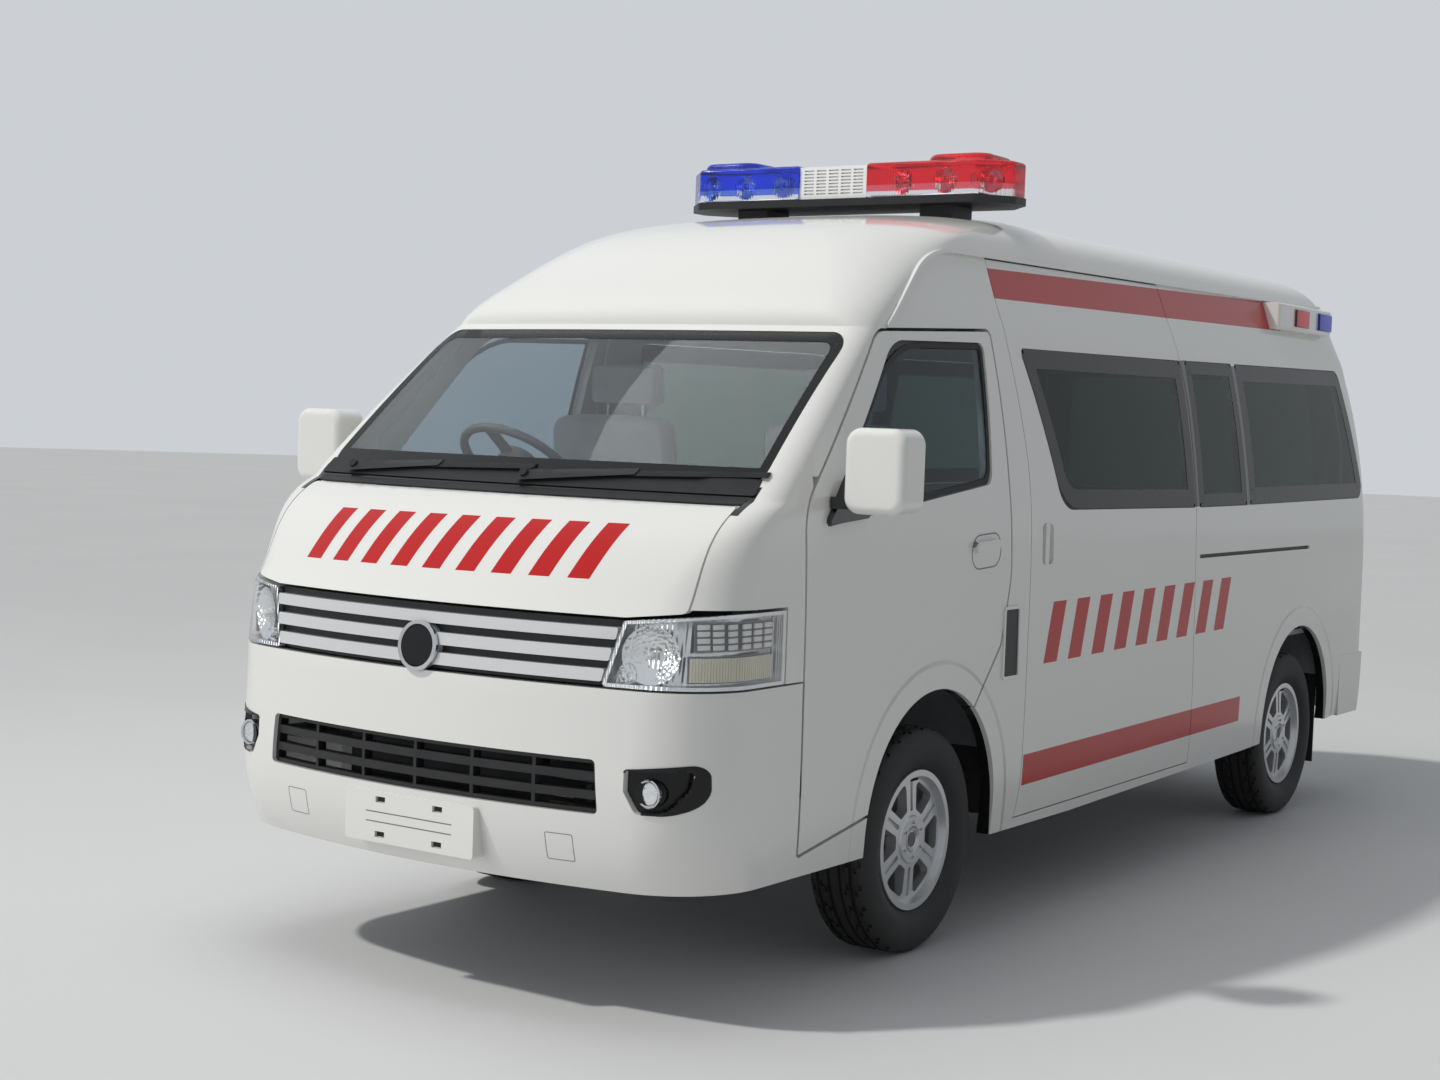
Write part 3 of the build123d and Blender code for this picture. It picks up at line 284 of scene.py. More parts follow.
def relief(material, height, strength, depth):
    """Bump from a height, on top of any bump already there."""
    tree, shader = material.node_tree, shader_of(material)
    node = tree.nodes.new("ShaderNodeBump")
    node.inputs["Strength"].default_value = strength
    node.inputs["Distance"].default_value = depth
    tree.links.new(height, node.inputs["Height"])
    if shader.inputs["Normal"].is_linked:
        tree.links.new(shader.inputs["Normal"].links[0].from_socket, node.inputs["Normal"])
    tree.links.new(node.outputs[0], shader.inputs["Normal"])


def patterned(material, texture, scale, output, strength, depth):
    """Bump from a texture on the Object coordinates. Returns the texture's node."""
    tree = material.node_tree
    node = tree.nodes.new(texture)
    node.inputs["Scale"].default_value = scale
    coordinates = tree.nodes.new("ShaderNodeTexCoord")
    tree.links.new(coordinates.outputs["Object"], node.inputs["Vector"])
    relief(material, node.outputs[output], strength, depth)
    return node


def layer(material, mask, colour):
    """Another colour over the present one, where the mask is 1."""
    tree, shader = material.node_tree, shader_of(material)
    mix = tree.nodes.new("ShaderNodeMix")
    mix.data_type = "RGBA"
    tree.links.new(shader.inputs["Base Color"].links[0].from_socket, mix.inputs["A"])
    mix.inputs["B"].default_value = (*colour, 1)
    tree.links.new(mask, mix.inputs["Factor"])
    tree.links.new(mix.outputs["Result"], shader.inputs["Base Color"])


print("finish helpers: surface, relief, patterned and layer")

# %% [markdown]
# ## White paint and red graphics
# The body is sprayed in one glossy white with a clear coat. The red stripes are vinyl film cut to
# straight lines. They could be thin sheets laid on the panels, but sheets would have to be cut at
# every gap, and a mask on the side's Y and Z runs over all panels alike. A plain row of slanted red
# bars marks each side and the bonnet: a remainder of the place along the row repeats one bar.

# %% Stripe masks
WHITE_DARK, WHITE_LIGHT = (0.755, 0.755, 0.730), (0.785, 0.785, 0.760)
RED = (0.50, 0.010, 0.010)
BLACK = (0.012, 0.012, 0.013)


def line(tree, along, start, start_height, end, end_height):
    """The height of a straight line above each place."""
    slope = (end_height - start_height) / (end - start)
    return calc(tree, "MULTIPLY_ADD", along, slope, start_height - slope * start)


def band(tree, along, height, start, end, low, high):
    """A band between two straight edges: low and high give the heights at start and end."""
    below = line(tree, along, start, low[0], end, low[1])
    above = line(tree, along, start, high[0], end, high[1])
    return every(tree, between(tree, along, start, end), between(tree, height, below, above))


def bars_in(tree, along, height, start, pitch, width, lean, count):
    """So many repeated slanted bars: 1 inside a bar, 0 between two and beyond the last."""
    slanted = calc(tree, "SUBTRACT", calc(tree, "MULTIPLY_ADD", height, -lean, along), start)
    inside = calc(tree, "LESS_THAN", calc(tree, "MODULO", slanted, pitch), width)
    return every(tree, between(tree, slanted, 0.0, pitch * count), inside)


BAR_COUNT = 9
# Columns: start, end, lower edge's height at both, upper edge's height at both.
# The sides' start and end are measured backwards from the front axle, the bonnet's along X.
UPPER_STRIPE = (0.515, 3.121, (1.949, 1.988), (2.043, 2.103))
LOWER_STRIPE = (0.578, 2.455, (0.429, 0.453), (0.527, 0.549))
SIDE_ROW = (0.650, 2.400, (0.806, 0.825), (1.000, 1.018))
BONNET_ROW = (-0.560, 0.560, (1.118, 1.128), (1.258, 1.268))
side_graphics, _, puts = new_group("side_graphics", [], [("Mask", "NodeSocketFloat")])
_, y, z = place_in(side_graphics)
axle = calc(side_graphics, "SUBTRACT", y, FRONT_AXLE)
upper = band(side_graphics, axle, z, *UPPER_STRIPE)
lower = band(side_graphics, axle, z, *LOWER_STRIPE)
row = band(side_graphics, axle, z, *SIDE_ROW)
bars = bars_in(side_graphics, axle, z, start=0.447, pitch=0.181, width=0.098, lean=0.30, count=BAR_COUNT)
film = calc(side_graphics, "MAXIMUM", upper, lower)
film = calc(side_graphics, "MAXIMUM", film, every(side_graphics, row, bars))
side_graphics.links.new(film, puts.inputs["Mask"])

bonnet_graphics, _, puts = new_group("bonnet_graphics", [], [("Mask", "NodeSocketFloat")])
x, _, z = place_in(bonnet_graphics)
row = band(bonnet_graphics, x, z, *BONNET_ROW)
bars = bars_in(bonnet_graphics, x, z, start=-0.815, pitch=0.117, width=0.064, lean=0.25, count=BAR_COUNT)
bonnet_graphics.links.new(every(bonnet_graphics, row, bars), puts.inputs["Mask"])
print("graphics:", side_graphics.name, bonnet_graphics.name)

# %% [markdown]
# ## Wheel arches
# Each wheel opening is half a circle over straight sides. Its inside is black, and the panel round
# it swells out in a soft flare. Both follow the distance from the arch's middle, so one group gives
# a mask for the black liner and a height for the flare. A modelled lip would need a seam of its own,
# and bump is enough for a swelling of a centimetre that has no edge.

# %% Wheel arches
ARCH_HEIGHT = 0.395
LINER_RADIUS = 0.393
LINER_INNER, LINER_OUTER = 0.40, 0.832
FLARE_INNER, FLARE_OUTER = 0.455, 0.475
wheel_arches, _, puts = new_group(
    "wheel_arches", [], [("Liner", "NodeSocketFloat"), ("Flare", "NodeSocketFloat")])
x, y, z = place_in(wheel_arches)
rise = calc(wheel_arches, "MAXIMUM", calc(wheel_arches, "SUBTRACT", z, ARCH_HEIGHT), 0.0)
radii = []
for axle_y in (FRONT_AXLE, REAR_AXLE):
    along = calc(wheel_arches, "SUBTRACT", y, axle_y)
    rise_squared = calc(wheel_arches, "MULTIPLY", rise, rise)
    radii.append(calc(wheel_arches, "SQRT", calc(wheel_arches, "MULTIPLY_ADD", along, along, rise_squared)))
radius = calc(wheel_arches, "MINIMUM", *radii)
across = calc(wheel_arches, "ABSOLUTE", x)
liner = every(
    wheel_arches, calc(wheel_arches, "LESS_THAN", radius, LINER_RADIUS),
    between(wheel_arches, across, LINER_INNER, LINER_OUTER))
wheel_arches.links.new(liner, puts.inputs["Liner"])
swell = wheel_arches.nodes.new("ShaderNodeMapRange")
swell.interpolation_type = "SMOOTHSTEP"
for socket, value in (
        ("From Min", FLARE_INNER), ("From Max", FLARE_OUTER), ("To Min", 1.0), ("To Max", 0.0)):
    swell.inputs[socket].default_value = value
wheel_arches.links.new(radius, swell.inputs["Value"])
wheel_arches.links.new(swell.outputs[0], puts.inputs["Flare"])
print("arches round", FRONT_AXLE, "and", REAR_AXLE)

# %% [markdown]
# ## The body's paints
# All panels share one paint. The sides add the stripes, and the bonnet its row of bars. The window
# pillars on the sides and the inside of the bumper's openings are black, and the strip behind the
# bonnet is black as painted shade. Each has its own mask rather than a piece, so that it stays flush
# with the panel.

# %% Paints
COAT = 0.40
FILM_DULLS = 0.35
ROAD_DIRT = (0.42, 0.39, 0.35)
# Columns as for the stripes.
PILLARS = (
    (1.905, 1.980, (1.286, 1.288), (1.815, 1.820)),
    (2.430, 2.492, (1.286, 1.288), (1.815, 1.820)))
# The frame's strip below the windscreen, behind the bonnet, is black as painted shade.
COWL_SHADE = (-0.772, 0.772, (1.300, 1.300), (1.372, 1.372))
FACES_BACK = 0.25


def paint(name, graphics=None):
    """Glossy white paint with a clear coat, road film low down, arch flares, and maybe graphics."""
    material = surface(name, WHITE_DARK, WHITE_LIGHT, 1.2, (0.14, 0.18),
                       Specular_IOR_Level=0.35, Coat_Weight=COAT, Coat_Roughness=0.04)
    tree = material.node_tree
    layer(material, group_in(tree, road_film, Top=0.50).outputs["Mask"], ROAD_DIRT)
    if graphics:
        film = group_in(tree, graphics).outputs["Mask"]
        layer(material, film, RED)
        duller = calc(tree, "MULTIPLY_ADD", film, -FILM_DULLS, COAT)
        wire(tree, duller, shader_of(material).inputs["Coat Weight"])
    arches = group_in(tree, wheel_arches)
    layer(material, arches.outputs["Liner"], BLACK)
    relief(material, arches.outputs["Flare"], 1.0, 0.010)
    return material


white_paint = paint("white_paint")
bonnet_paint = paint("bonnet_paint", bonnet_graphics)
striped_paint = paint("striped_paint", side_graphics)
tree = striped_paint.node_tree
_, y, z = place_in(tree)
axle = calc(tree, "SUBTRACT", y, FRONT_AXLE)
for pillar in PILLARS:
    layer(striped_paint, band(tree, axle, z, *pillar), BLACK)
frame_paint = paint("frame_paint")
# The front frame gets a black band of painted shade behind the bonnet.
tree = frame_paint.node_tree
x, _, z = place_in(tree)
layer(frame_paint, band(tree, x, z, *COWL_SHADE), BLACK)
bumper_paint = paint("bumper_paint")
tree = bumper_paint.node_tree
split = tree.nodes.new("ShaderNodeSeparateXYZ")
tree.links.new(tree.nodes.new("ShaderNodeTexCoord").outputs["Normal"], split.inputs[0])
layer(bumper_paint, calc(tree, "GREATER_THAN", split.outputs[1], FACES_BACK), BLACK)
print("paints:", [m.name for m in bpy.data.materials if m.name.endswith("_paint")])

# %% [markdown]
# ## Plastics, metals, rubber and glass
# Most small parts of a van share a dozen finishes. Moulded plastic has a fine grain, rubber is
# almost black and dull, and bright trim is polished metal. Pictures of these could be wrapped round
# the parts, but noise needs no unwrapping and has no seams. Each line gives a dark and a light tone,
# the scale of their drift, the range of roughness, and for some the bump's strength and depth.

# %% Plastics and metals
black_plastic = surface(
    "black_plastic", (0.012, 0.012, 0.013), (0.022, 0.022, 0.023), 14, (0.42, 0.6), 0.25, 0.0004)
black_gloss = surface(
    "black_gloss", (0.006, 0.006, 0.007), (0.012, 0.012, 0.013), 6, (0.20, 0.32), Specular_IOR_Level=0.3)
seal_rubber = surface(
    "seal_rubber", (0.010, 0.010, 0.010), (0.020, 0.020, 0.020), 40, (0.65, 0.8), 0.2, 0.0003)
bright_metal = surface(
    "bright_metal", (0.60, 0.61, 0.62), (0.72, 0.73, 0.74), 8, (0.08, 0.16), Metallic=1.0)
satin_metal = surface(
    "satin_metal", (0.42, 0.43, 0.44), (0.55, 0.56, 0.57), 12, (0.28, 0.40), 0.1, 0.0003, Metallic=1.0)
mirror_metal = surface(
    "mirror_metal", (0.78, 0.79, 0.80), (0.86, 0.87, 0.88), 5, (0.03, 0.08), Metallic=1.0)
silver_paint = surface(
    "silver_paint", (0.50, 0.51, 0.52), (0.60, 0.61, 0.62), 60, (0.26, 0.36), 0.05, 0.0002,
    Metallic=0.55, Coat_Weight=0.5)
dash_plastic = surface(
    "dash_plastic", (0.085, 0.085, 0.088), (0.13, 0.13, 0.135), 30, (0.5, 0.65), 0.4, 0.0006)
chassis_paint = surface(
    "chassis_paint", (0.012, 0.012, 0.012), (0.045, 0.040, 0.035), 5, (0.55, 0.75), 0.3, 0.0008)
cast_iron = surface(
    "cast_iron", (0.10, 0.10, 0.10), (0.19, 0.185, 0.18), 24, (0.5, 0.7), 0.5, 0.0012, Metallic=0.6)
steel = surface(
    "steel", (0.30, 0.29, 0.28), (0.46, 0.45, 0.44), 18, (0.3, 0.5), 0.2, 0.0006, Metallic=1.0)
floor_sheet = surface(
    "floor_sheet", (0.20, 0.21, 0.22), (0.28, 0.29, 0.30), 26, (0.5, 0.65), 0.3, 0.0008)
grille_silver = surface(
    "grille_silver", (0.66, 0.665, 0.67), (0.74, 0.745, 0.75), 2, (0.20, 0.24),
    Metallic=0.30, Coat_Weight=0.5)
lamp_white = surface("lamp_white", (0.80, 0.80, 0.79), (0.90, 0.90, 0.89), 30, (0.2, 0.3))
print("plain finishes so far:", len(bpy.data.materials))

# %% [markdown]
# ## Glass and lamp finishes
# Glass is a clear shader with a plain Transmission Weight. The doors' panes are tinted a little and
# the rear cabin's a lot, and these bend light less, so they mirror less of the pale world and stay
# dark. The coloured lenses have fine moulded ribs, and clear sides below their coloured tops.

# %% Glass and lenses
MARKER_LAMP_TOP = 2.20
BAR_CLEAR_TOP = 2.335


def glass(name, tint, rough=(0.0, 0.002), ior=1.45, **settings):
    """Clear or tinted glass: light goes through, and the surface mirrors the room."""
    lighter = tuple(min(1.0, t * 1.08) for t in tint)
    return surface(name, tint, lighter, 3, rough, Transmission_Weight=1.0, IOR=ior, **settings)


def moulded_lens(name, tint):
    """A ribbed lens in this colour. The light bar's lens is clear below its coloured part."""
    material = glass(name, tint, (0.04, 0.10))
    patterned(material, "ShaderNodeTexWave", 32.0, "Fac", 0.25, 0.002)
    tree = material.node_tree
    clear_part = between(tree, place_in(tree)[2], MARKER_LAMP_TOP, BAR_CLEAR_TOP)
    layer(material, clear_part, (0.93, 0.94, 0.94))
    return material


windscreen_glass = glass("windscreen_glass", (0.88, 0.92, 0.93), Specular_IOR_Level=0.35)
door_glass = glass("door_glass", (0.24, 0.31, 0.35), ior=1.25, Specular_IOR_Level=0.2)
cabin_glass = glass("cabin_glass", (0.06, 0.10, 0.08), ior=1.2, Specular_IOR_Level=0.12)
lamp_glass = glass("lamp_glass", (0.96, 0.97, 0.97), (0.0, 0.03))
red_lens = moulded_lens("red_lens", (0.88, 0.018, 0.030))
blue_lens = moulded_lens("blue_lens", (0.015, 0.05, 0.80))
print("glass:", [m.name for m in bpy.data.materials if "glass" in m.name or "lens" in m.name])

# %% Lamp chrome and tail lamps
TAIL_BANDS = ((1.335, 1.420, (0.85, 0.36, 0.03)), (1.150, 1.235, (0.78, 0.78, 0.78)))
lamp_chrome = surface("lamp_chrome", (0.66, 0.67, 0.68), (0.80, 0.81, 0.82), 9, (0.16, 0.28), Metallic=0.85)
patterned(lamp_chrome, "ShaderNodeTexWave", 26.0, "Fac", 0.5, 0.004)
faceted_metal = surface(
    "faceted_metal", (0.74, 0.75, 0.76), (0.88, 0.89, 0.90), 5, (0.03, 0.10), Metallic=1.0)
patterned(faceted_metal, "ShaderNodeTexVoronoi", 90.0, "Distance", 0.6, 0.004)
lamp_backing = surface(
    "lamp_backing", (0.16, 0.165, 0.17), (0.24, 0.245, 0.25), 8, (0.25, 0.4), Metallic=0.5)
signal_clear = surface(
    "signal_clear", (0.70, 0.66, 0.52), (0.82, 0.78, 0.64), 8, (0.12, 0.2), Coat_Weight=0.6)
tail_lens = surface(
    "tail_lens", (0.42, 0.012, 0.016), (0.52, 0.018, 0.022), 6, (0.10, 0.18), Coat_Weight=0.8)
tree = tail_lens.node_tree
z = place_in(tree)[2]
for low, high, colour in TAIL_BANDS:
    layer(tail_lens, between(tree, z, low, high), colour)
print("finishes:", len(bpy.data.materials))

# %% [markdown]
# ## Helpers for pieces
# `finish_piece` turns a bmesh into an object that rides on a body of the frame. `dressed` makes a
# smooth copy of a CAD panel. The solid's triangles are loose and would shade flat, so its doubles
# are merged first, and edges sharper than an angle stay crisp. `coat` only repaints a CAD node that
# can stay as it is. `paired` finishes a part and its mirror image on the vehicle's other side.

# %% Piece helpers
def finish_piece(name, bm, slot, body, *materials, smooth=40, recalc=True):
    """Turns a finished bmesh into a piece on a body. Edges sharper than the angle stay crisp."""
    if recalc:
        bmesh.ops.recalc_face_normals(bm, faces=bm.faces)
    for face in bm.faces:
        face.smooth = True
    for edge in bm.edges:
        edge.smooth = edge.calc_face_angle(0.0) < math.radians(smooth)
    mesh = bpy.data.meshes.new(name)
    bm.to_mesh(mesh)
    bm.free()
    for material in materials:
        mesh.materials.append(material)
    obj = bpy.data.objects.new(name, mesh)
    scene.collection.objects.link(obj)
    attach(obj, body)
    return obj


def turned_over(bm):
    """The mirror image on the vehicle's other side."""
    bmesh.ops.scale(bm, vec=(-1, 1, 1), verts=bm.verts)
    bmesh.ops.reverse_faces(bm, faces=bm.faces)
    return bm


def paired(name, bm, slot, material, recalc=True):
    """A part of the body on the left side, and its twin on the right side."""
    twin = turned_over(bm.copy())
    finish_piece(name, bm, slot, "body", material, recalc=recalc)
    finish_piece(name + "_right", twin, slot, "body", material, recalc=recalc)


def body_of(node):
    """The name of the body a CAD node rides on."""
    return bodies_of(frame["nodes"][node])[0]


def slot_of(node):
    """The node's material slot in the record."""
    parts = frame["record"]["subparts"]
    return next(part["material_slot"] for part in parts if part["node"] == node)


def dressed(node, name, material, angle=28):
    """A merged, smoothly shaded copy of a CAD node that stands for it."""
    bm = bmesh.new()
    bm.from_mesh(frame["nodes"][node].data)
    bmesh.ops.remove_doubles(bm, verts=bm.verts, dist=0.00003)
    obj = finish_piece(name, bm, slot_of(node), body_of(node), material, smooth=angle, recalc=False)
    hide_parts(node)
    return obj


def coat(material, *nodes):
    """The material in every slot of these CAD nodes."""
    for node in nodes:
        obj = frame["nodes"][node]
        if not obj.material_slots:
            obj.data.materials.append(material)
        for used in obj.material_slots:
            used.material = material


print("body of the bonnet:", body_of("bonnet"), "slot:", slot_of("bonnet"))

# %% [markdown]
# ## Helpers for small shapes
# Tyres, caps, rings and reflectors are shapes of turning, so a few points are spun round an axis.
# Nuts, bulbs and posts are cones and cylinders, and trays and mirror glass are softened blocks. An
# edge that is rounded a little catches the light, and a sharp one would look like a drawing.

# %% Shape helpers
ROUND_X, ROUND_Y = (1, 0, 0), (0, 1, 0)
ALONG_X = Matrix.Rotation(math.radians(90), 4, "Y")
ALONG_Y = Matrix.Rotation(math.radians(90), 4, "X")


def spun(points, axis, steps=48):
    """The points, joined by lines and spun once round an axis through the origin."""
    bm = bmesh.new()
    profile = [bm.verts.new(point) for point in points]
    edges = [bm.edges.new(pair) for pair in zip(profile, profile[1:])]
    bmesh.ops.spin(bm, geom=profile + edges, axis=axis, cent=(0, 0, 0), steps=steps,
                   angle=math.tau, use_merge=True)
    bmesh.ops.remove_doubles(bm, verts=bm.verts, dist=0.00002)
    return bm


def cone(bm, place, radius, far_radius, length, segments):
    """A closed cone or cylinder at a place, along the place's own Z."""
    bmesh.ops.create_cone(bm, cap_ends=True, segments=segments, radius1=radius, radius2=far_radius,
                          depth=length, matrix=place)


def block(bm, place, size):
    """A box at a place, given as a matrix, with its three sizes."""
    bmesh.ops.create_cube(bm, size=1.0, matrix=place @ Matrix.Diagonal((*size, 1)))


def soften(bm, edges, offset, segments=2):
    """Rounds these edges over."""
    bmesh.ops.bevel(bm, geom=edges, offset=offset, segments=segments, profile=0.5,
                    affect="EDGES", material=-1)


print("shape helpers: spun, cone, block and soften")

# %% [markdown]
# ## The painted shell
# The roof, sides, pillars, doors, bonnet, tailgate and bumpers are the curved painted panels. On
# the real van most are pressed steel, so their curves are smooth and their edges are crisp. They
# could be modelled anew, but the solids already have the right curves and gaps, so each panel is a
# merged copy that is shaded smooth.

# %% Dress the panels
for node, material in (
        ("roof", white_paint), ("body_side_left", striped_paint), ("body_side_right", striped_paint),
        ("slide_door", striped_paint), ("front_frame", frame_paint), ("bonnet", bonnet_paint),
        ("door_left", white_paint), ("door_right", white_paint), ("tailgate", white_paint),
        ("front_bumper", bumper_paint), ("rear_bumper", white_paint), ("marker_housings", white_paint)):
    piece = dressed(node, node + "_panel", material)
    print(piece.name, len(piece.data.polygons), "faces")

# %% [markdown]
# ## Panes, lenses and trim that keep their CAD shape
# The dark plastics and the metal underbody only take a better material. The panes are 5 mm solids
# that bend light rightly as they are. They, the lamps and the steering wheel get a merged copy, so
# that their curves shade smoothly.

# %% Coat the other nodes
coat(black_plastic, "cowl", "lower_grille", "mud_flaps", "radiator", "fuel_tank", "light_bar")
coat(chassis_paint, "chassis", "front_suspension")
coat(cast_iron, "engine", "knuckle_left", "knuckle_right", "rear_axle")
coat(steel, "exhaust", "leaf_springs")
coat(floor_sheet, "floor")
coat(dash_plastic, "dashboard")
for node, material, angle in (
        ("windscreen", windscreen_glass, 30), ("side_glass", cabin_glass, 30),
        ("door_glass_left", door_glass, 30), ("door_glass_right", door_glass, 30),
        ("tailgate_glass", cabin_glass, 30), ("headlamp_lenses", lamp_glass, 30),
        ("headlamps", lamp_chrome, 30), ("tail_lamps", tail_lens, 30), ("grille_mesh", black_plastic, 30),
        ("steering_wheel", dash_plastic, 50), ("fog_lamps", black_gloss, 30)):
    dressed(node, node + "_smooth", material, angle)

# %% [markdown]
# ## Finding the skin
# Small parts sit on curved panels. A ray cast at the CAD panels finds the skin at any place seen
# from the front or the left, so a piece can be cut flat and then laid on the surface. Moving each
# corner to the nearest skin would bend the outline, and a ray keeps it true from that side.
# `laid` does that: a flat outline with rounded corners is sliced, dropped on the skin, and thickened.

# %% Skin helpers
def caster(*nodes):
    """Something to cast rays at, made from CAD nodes."""
    corners, faces = [], []
    for node in nodes:
        mesh = frame["nodes"][node].data
        first = len(corners)
        corners += [vertex.co.copy() for vertex in mesh.vertices]
        faces += [[first + i for i in polygon.vertices] for polygon in mesh.polygons]
    return BVHTree.FromPolygons(corners, faces)


# Shares of the way to the sheet's middle at which a depth is looked for. The negative ones lie outwards.
PULLS = (0.0, 0.005, 0.015, 0.04, -0.03, -0.08, 0.1, 0.3, -0.2, -0.4)
VIEWS = {
    "front": (Vector((0, 1, 0)), lambda a, b: Vector((a, -4, b))),
    "left": (Vector((-1, 0, 0)), lambda a, b: Vector((2, a, b))),
}


def skin_at(skin, view, a, b):
    """The skin's point at (a, b): X and Z seen from the front, Y and Z seen from the left."""
    direction, start = VIEWS[view]
    return skin.ray_cast(start(a, b), direction)[0]


def outline(points, radii, view):
    """A flat face with rounded corners, in the plane that the view looks at."""
    bm = bmesh.new()
    direction, start = VIEWS[view]
    corners = []
    for a, b in points:
        place = start(a, b)
        corners.append(bm.verts.new(place - direction * place.dot(direction)))
    bm.faces.new(corners)
    for corner, radius in zip(corners, radii):
        if radius:
            bmesh.ops.bevel(
                bm, geom=[corner], offset=radius, offset_type="OFFSET", segments=5, profile=0.5,
                affect="VERTICES", clamp_overlap=True, material=-1)
    return bm


def sliced(bm, step):
    """The flat face cut into a grid, so that it can follow a curve."""
    for axis in (Vector((1, 0, 0)), Vector((0, 1, 0)), Vector((0, 0, 1))):
        reach = [vertex.co.dot(axis) for vertex in bm.verts]
        low, high = min(reach), max(reach)
        count = int((high - low) / step)
        for k in range(1, count + 1):
            at = low + (high - low) * k / (count + 1)
            everything = bm.verts[:] + bm.edges[:] + bm.faces[:]
            bmesh.ops.bisect_plane(bm, geom=everything, dist=1e-6, plane_co=axis * at, plane_no=axis)
    return bm


def on_face(hit, normal, direction):
    """Whether a ray found a face that looks back at it, and not an opening's side wall."""
    return hit is not None and abs(normal.dot(direction)) > 0.25


def thicken(bm, offset):
    """Gives an open sheet a thickness along the offset, and keeps the sheet as its other side."""
    grown = bmesh.ops.extrude_face_region(bm, geom=bm.faces[:], use_keep_orig=True)
    moved = [item for item in grown["geom"] if isinstance(item, bmesh.types.BMVert)]
    bmesh.ops.translate(bm, verts=moved, vec=offset)


def drop(bm, skin, view, lift, thick):
    """Lays the sheet on the skin and thickens it outwards. Past an edge it keeps the edge's depth."""
    direction, start = VIEWS[view]
    flat = [(v.co.y if view == "left" else v.co.x, v.co.z) for v in bm.verts]
    middle_a, middle_b = (sum(pair[k] for pair in flat) / len(flat) for k in (0, 1))
    depth = 0.0
    for vertex, (a, b) in zip(bm.verts, flat):
        for pull in PULLS:
            near = start(a + (middle_a - a) * pull, b + (middle_b - b) * pull)
            hit, normal = skin.ray_cast(near, direction)[:2]
            if on_face(hit, normal, direction):
                depth = hit.dot(direction) - lift
                break
        vertex.co += direction * depth
    thicken(bm, -direction * thick)


def laid(name, points, radii, view, skin, slot, body, material,
         lift=0.0005, thick=0.002, step=0.05, mirror=None, border=0.0):
    """A piece laid on the skin. With border it is a frame that wide. mirror: the body of its twin."""
    bm = outline(points, radii, view)
    if border:
        inner = bmesh.ops.inset_region(
            bm, faces=bm.faces[:], thickness=border, use_boundary=True, use_even_offset=True)
        kept = set(inner["faces"])
        bmesh.ops.delete(bm, geom=[face for face in bm.faces if face not in kept], context="FACES")
    sliced(bm, step)
    drop(bm, skin, view, lift, thick)
    twin = bm.copy() if mirror else None
    finish_piece(name, bm, slot, body, material)
    if mirror:
        finish_piece(name + "_right", turned_over(twin), slot, mirror, material)


screen_skin = caster("windscreen")
print("windscreen at its middle:", skin_at(screen_skin, "front", 0.0, 1.6))

# %% [markdown]
# ## Windscreen edge, cowl and side window bands
# Car glass has a black printed border that hides its glue. A mask can't print it here, because
# glass has one transmission all over, so it is a thin frame laid on the outside of each pane. The
# side windows' borders are broad, so the band reads as one dark strip. Below the windscreen a thin
# black strip reaches from the frame to the bonnet's rear edge.

# %% Windscreen border
laid("screen_border", [(-0.765, 1.362), (-0.728, 1.797), (0.728, 1.797), (0.765, 1.362)],
     [0.055, 0.06, 0.06, 0.055], "front", screen_skin, "black_trim", "body", black_gloss,
     lift=0.0002, thick=0.0008, border=0.028, step=0.04)
laid("screen_base", [(-0.735, 1.392), (-0.732, 1.420), (0.732, 1.420), (0.735, 1.392)],
     [0, 0, 0, 0], "front", screen_skin, "black_trim", "body", black_gloss,
     lift=0.0002, thick=0.0008, step=0.04)
print("windscreen border laid")

# %% Cowl strip
COWL_HALF = 0.752
COWL_STEPS = 60
COWL_Z = 1.350
COWL_REAR, COWL_FRONT = Vector((0, 0.004, 0)), Vector((0, -0.031, -0.0225))
frame_skin = caster("front_frame")
bm = bmesh.new()
rows = []
for k in range(COWL_STEPS + 1):
    x = -COWL_HALF + 2 * COWL_HALF * k / COWL_STEPS
    edge = skin_at(frame_skin, "front", x, COWL_Z)
    rows.append([bm.verts.new(edge + reach) for reach in (COWL_REAR, COWL_FRONT)])
for near, far in zip(rows, rows[1:]):
    bm.faces.new((near[0], near[1], far[1], far[0]))
thicken(bm, Vector((0, 0.003, -0.004)))
piece = finish_piece("cowl_strip", bm, "black_trim", "body", black_plastic)
print(piece.name, len(piece.data.polygons), "faces")

# %% Side window borders
# Columns: name, corners as (y, z), corner radii, border.
WINDOWS = (
    ("first_window", [(-0.725, 1.800), (-0.522, 1.296), (0.590, 1.288), (0.578, 1.812)],
     [0.024, 0.10, 0.01, 0.01], 0.062),
    ("middle_window", [(0.633, 1.814), (0.635, 1.288), (1.113, 1.290), (1.099, 1.822)],
     [0.01, 0.01, 0.01, 0.01], 0.045),
    ("last_window", [(1.137, 1.822), (1.151, 1.291), (2.529, 1.304), (2.363, 1.842)],
     [0.01, 0.01, 0.06, 0.06], 0.062),
)
glass_skin = caster("side_glass")
for name, points, radii, border in WINDOWS:
    laid(name + "_border", points, radii, "left", glass_skin, "black_trim", "body", black_gloss,
         lift=0.0002, thick=0.0008, border=border, mirror="body")
laid("door_window_border", [(-2.003, 1.270), (-1.54, 1.780), (-0.977, 1.800), (-1.020, 1.382)],
     [0.014, 0.15, 0.026, 0.04], "left", caster("door_glass_left"), "black_trim", "door_left",
     seal_rubber, lift=0.0004, thick=0.004, border=0.016, mirror="door_right")

# %% [markdown]
# ## Wipers
# Each wiper is a tapered arm on a pivot and a long thin blade that lies on the glass. Both follow
# the glass, so they are cut flat as narrow strips and laid on it. They stand for the plain solids.

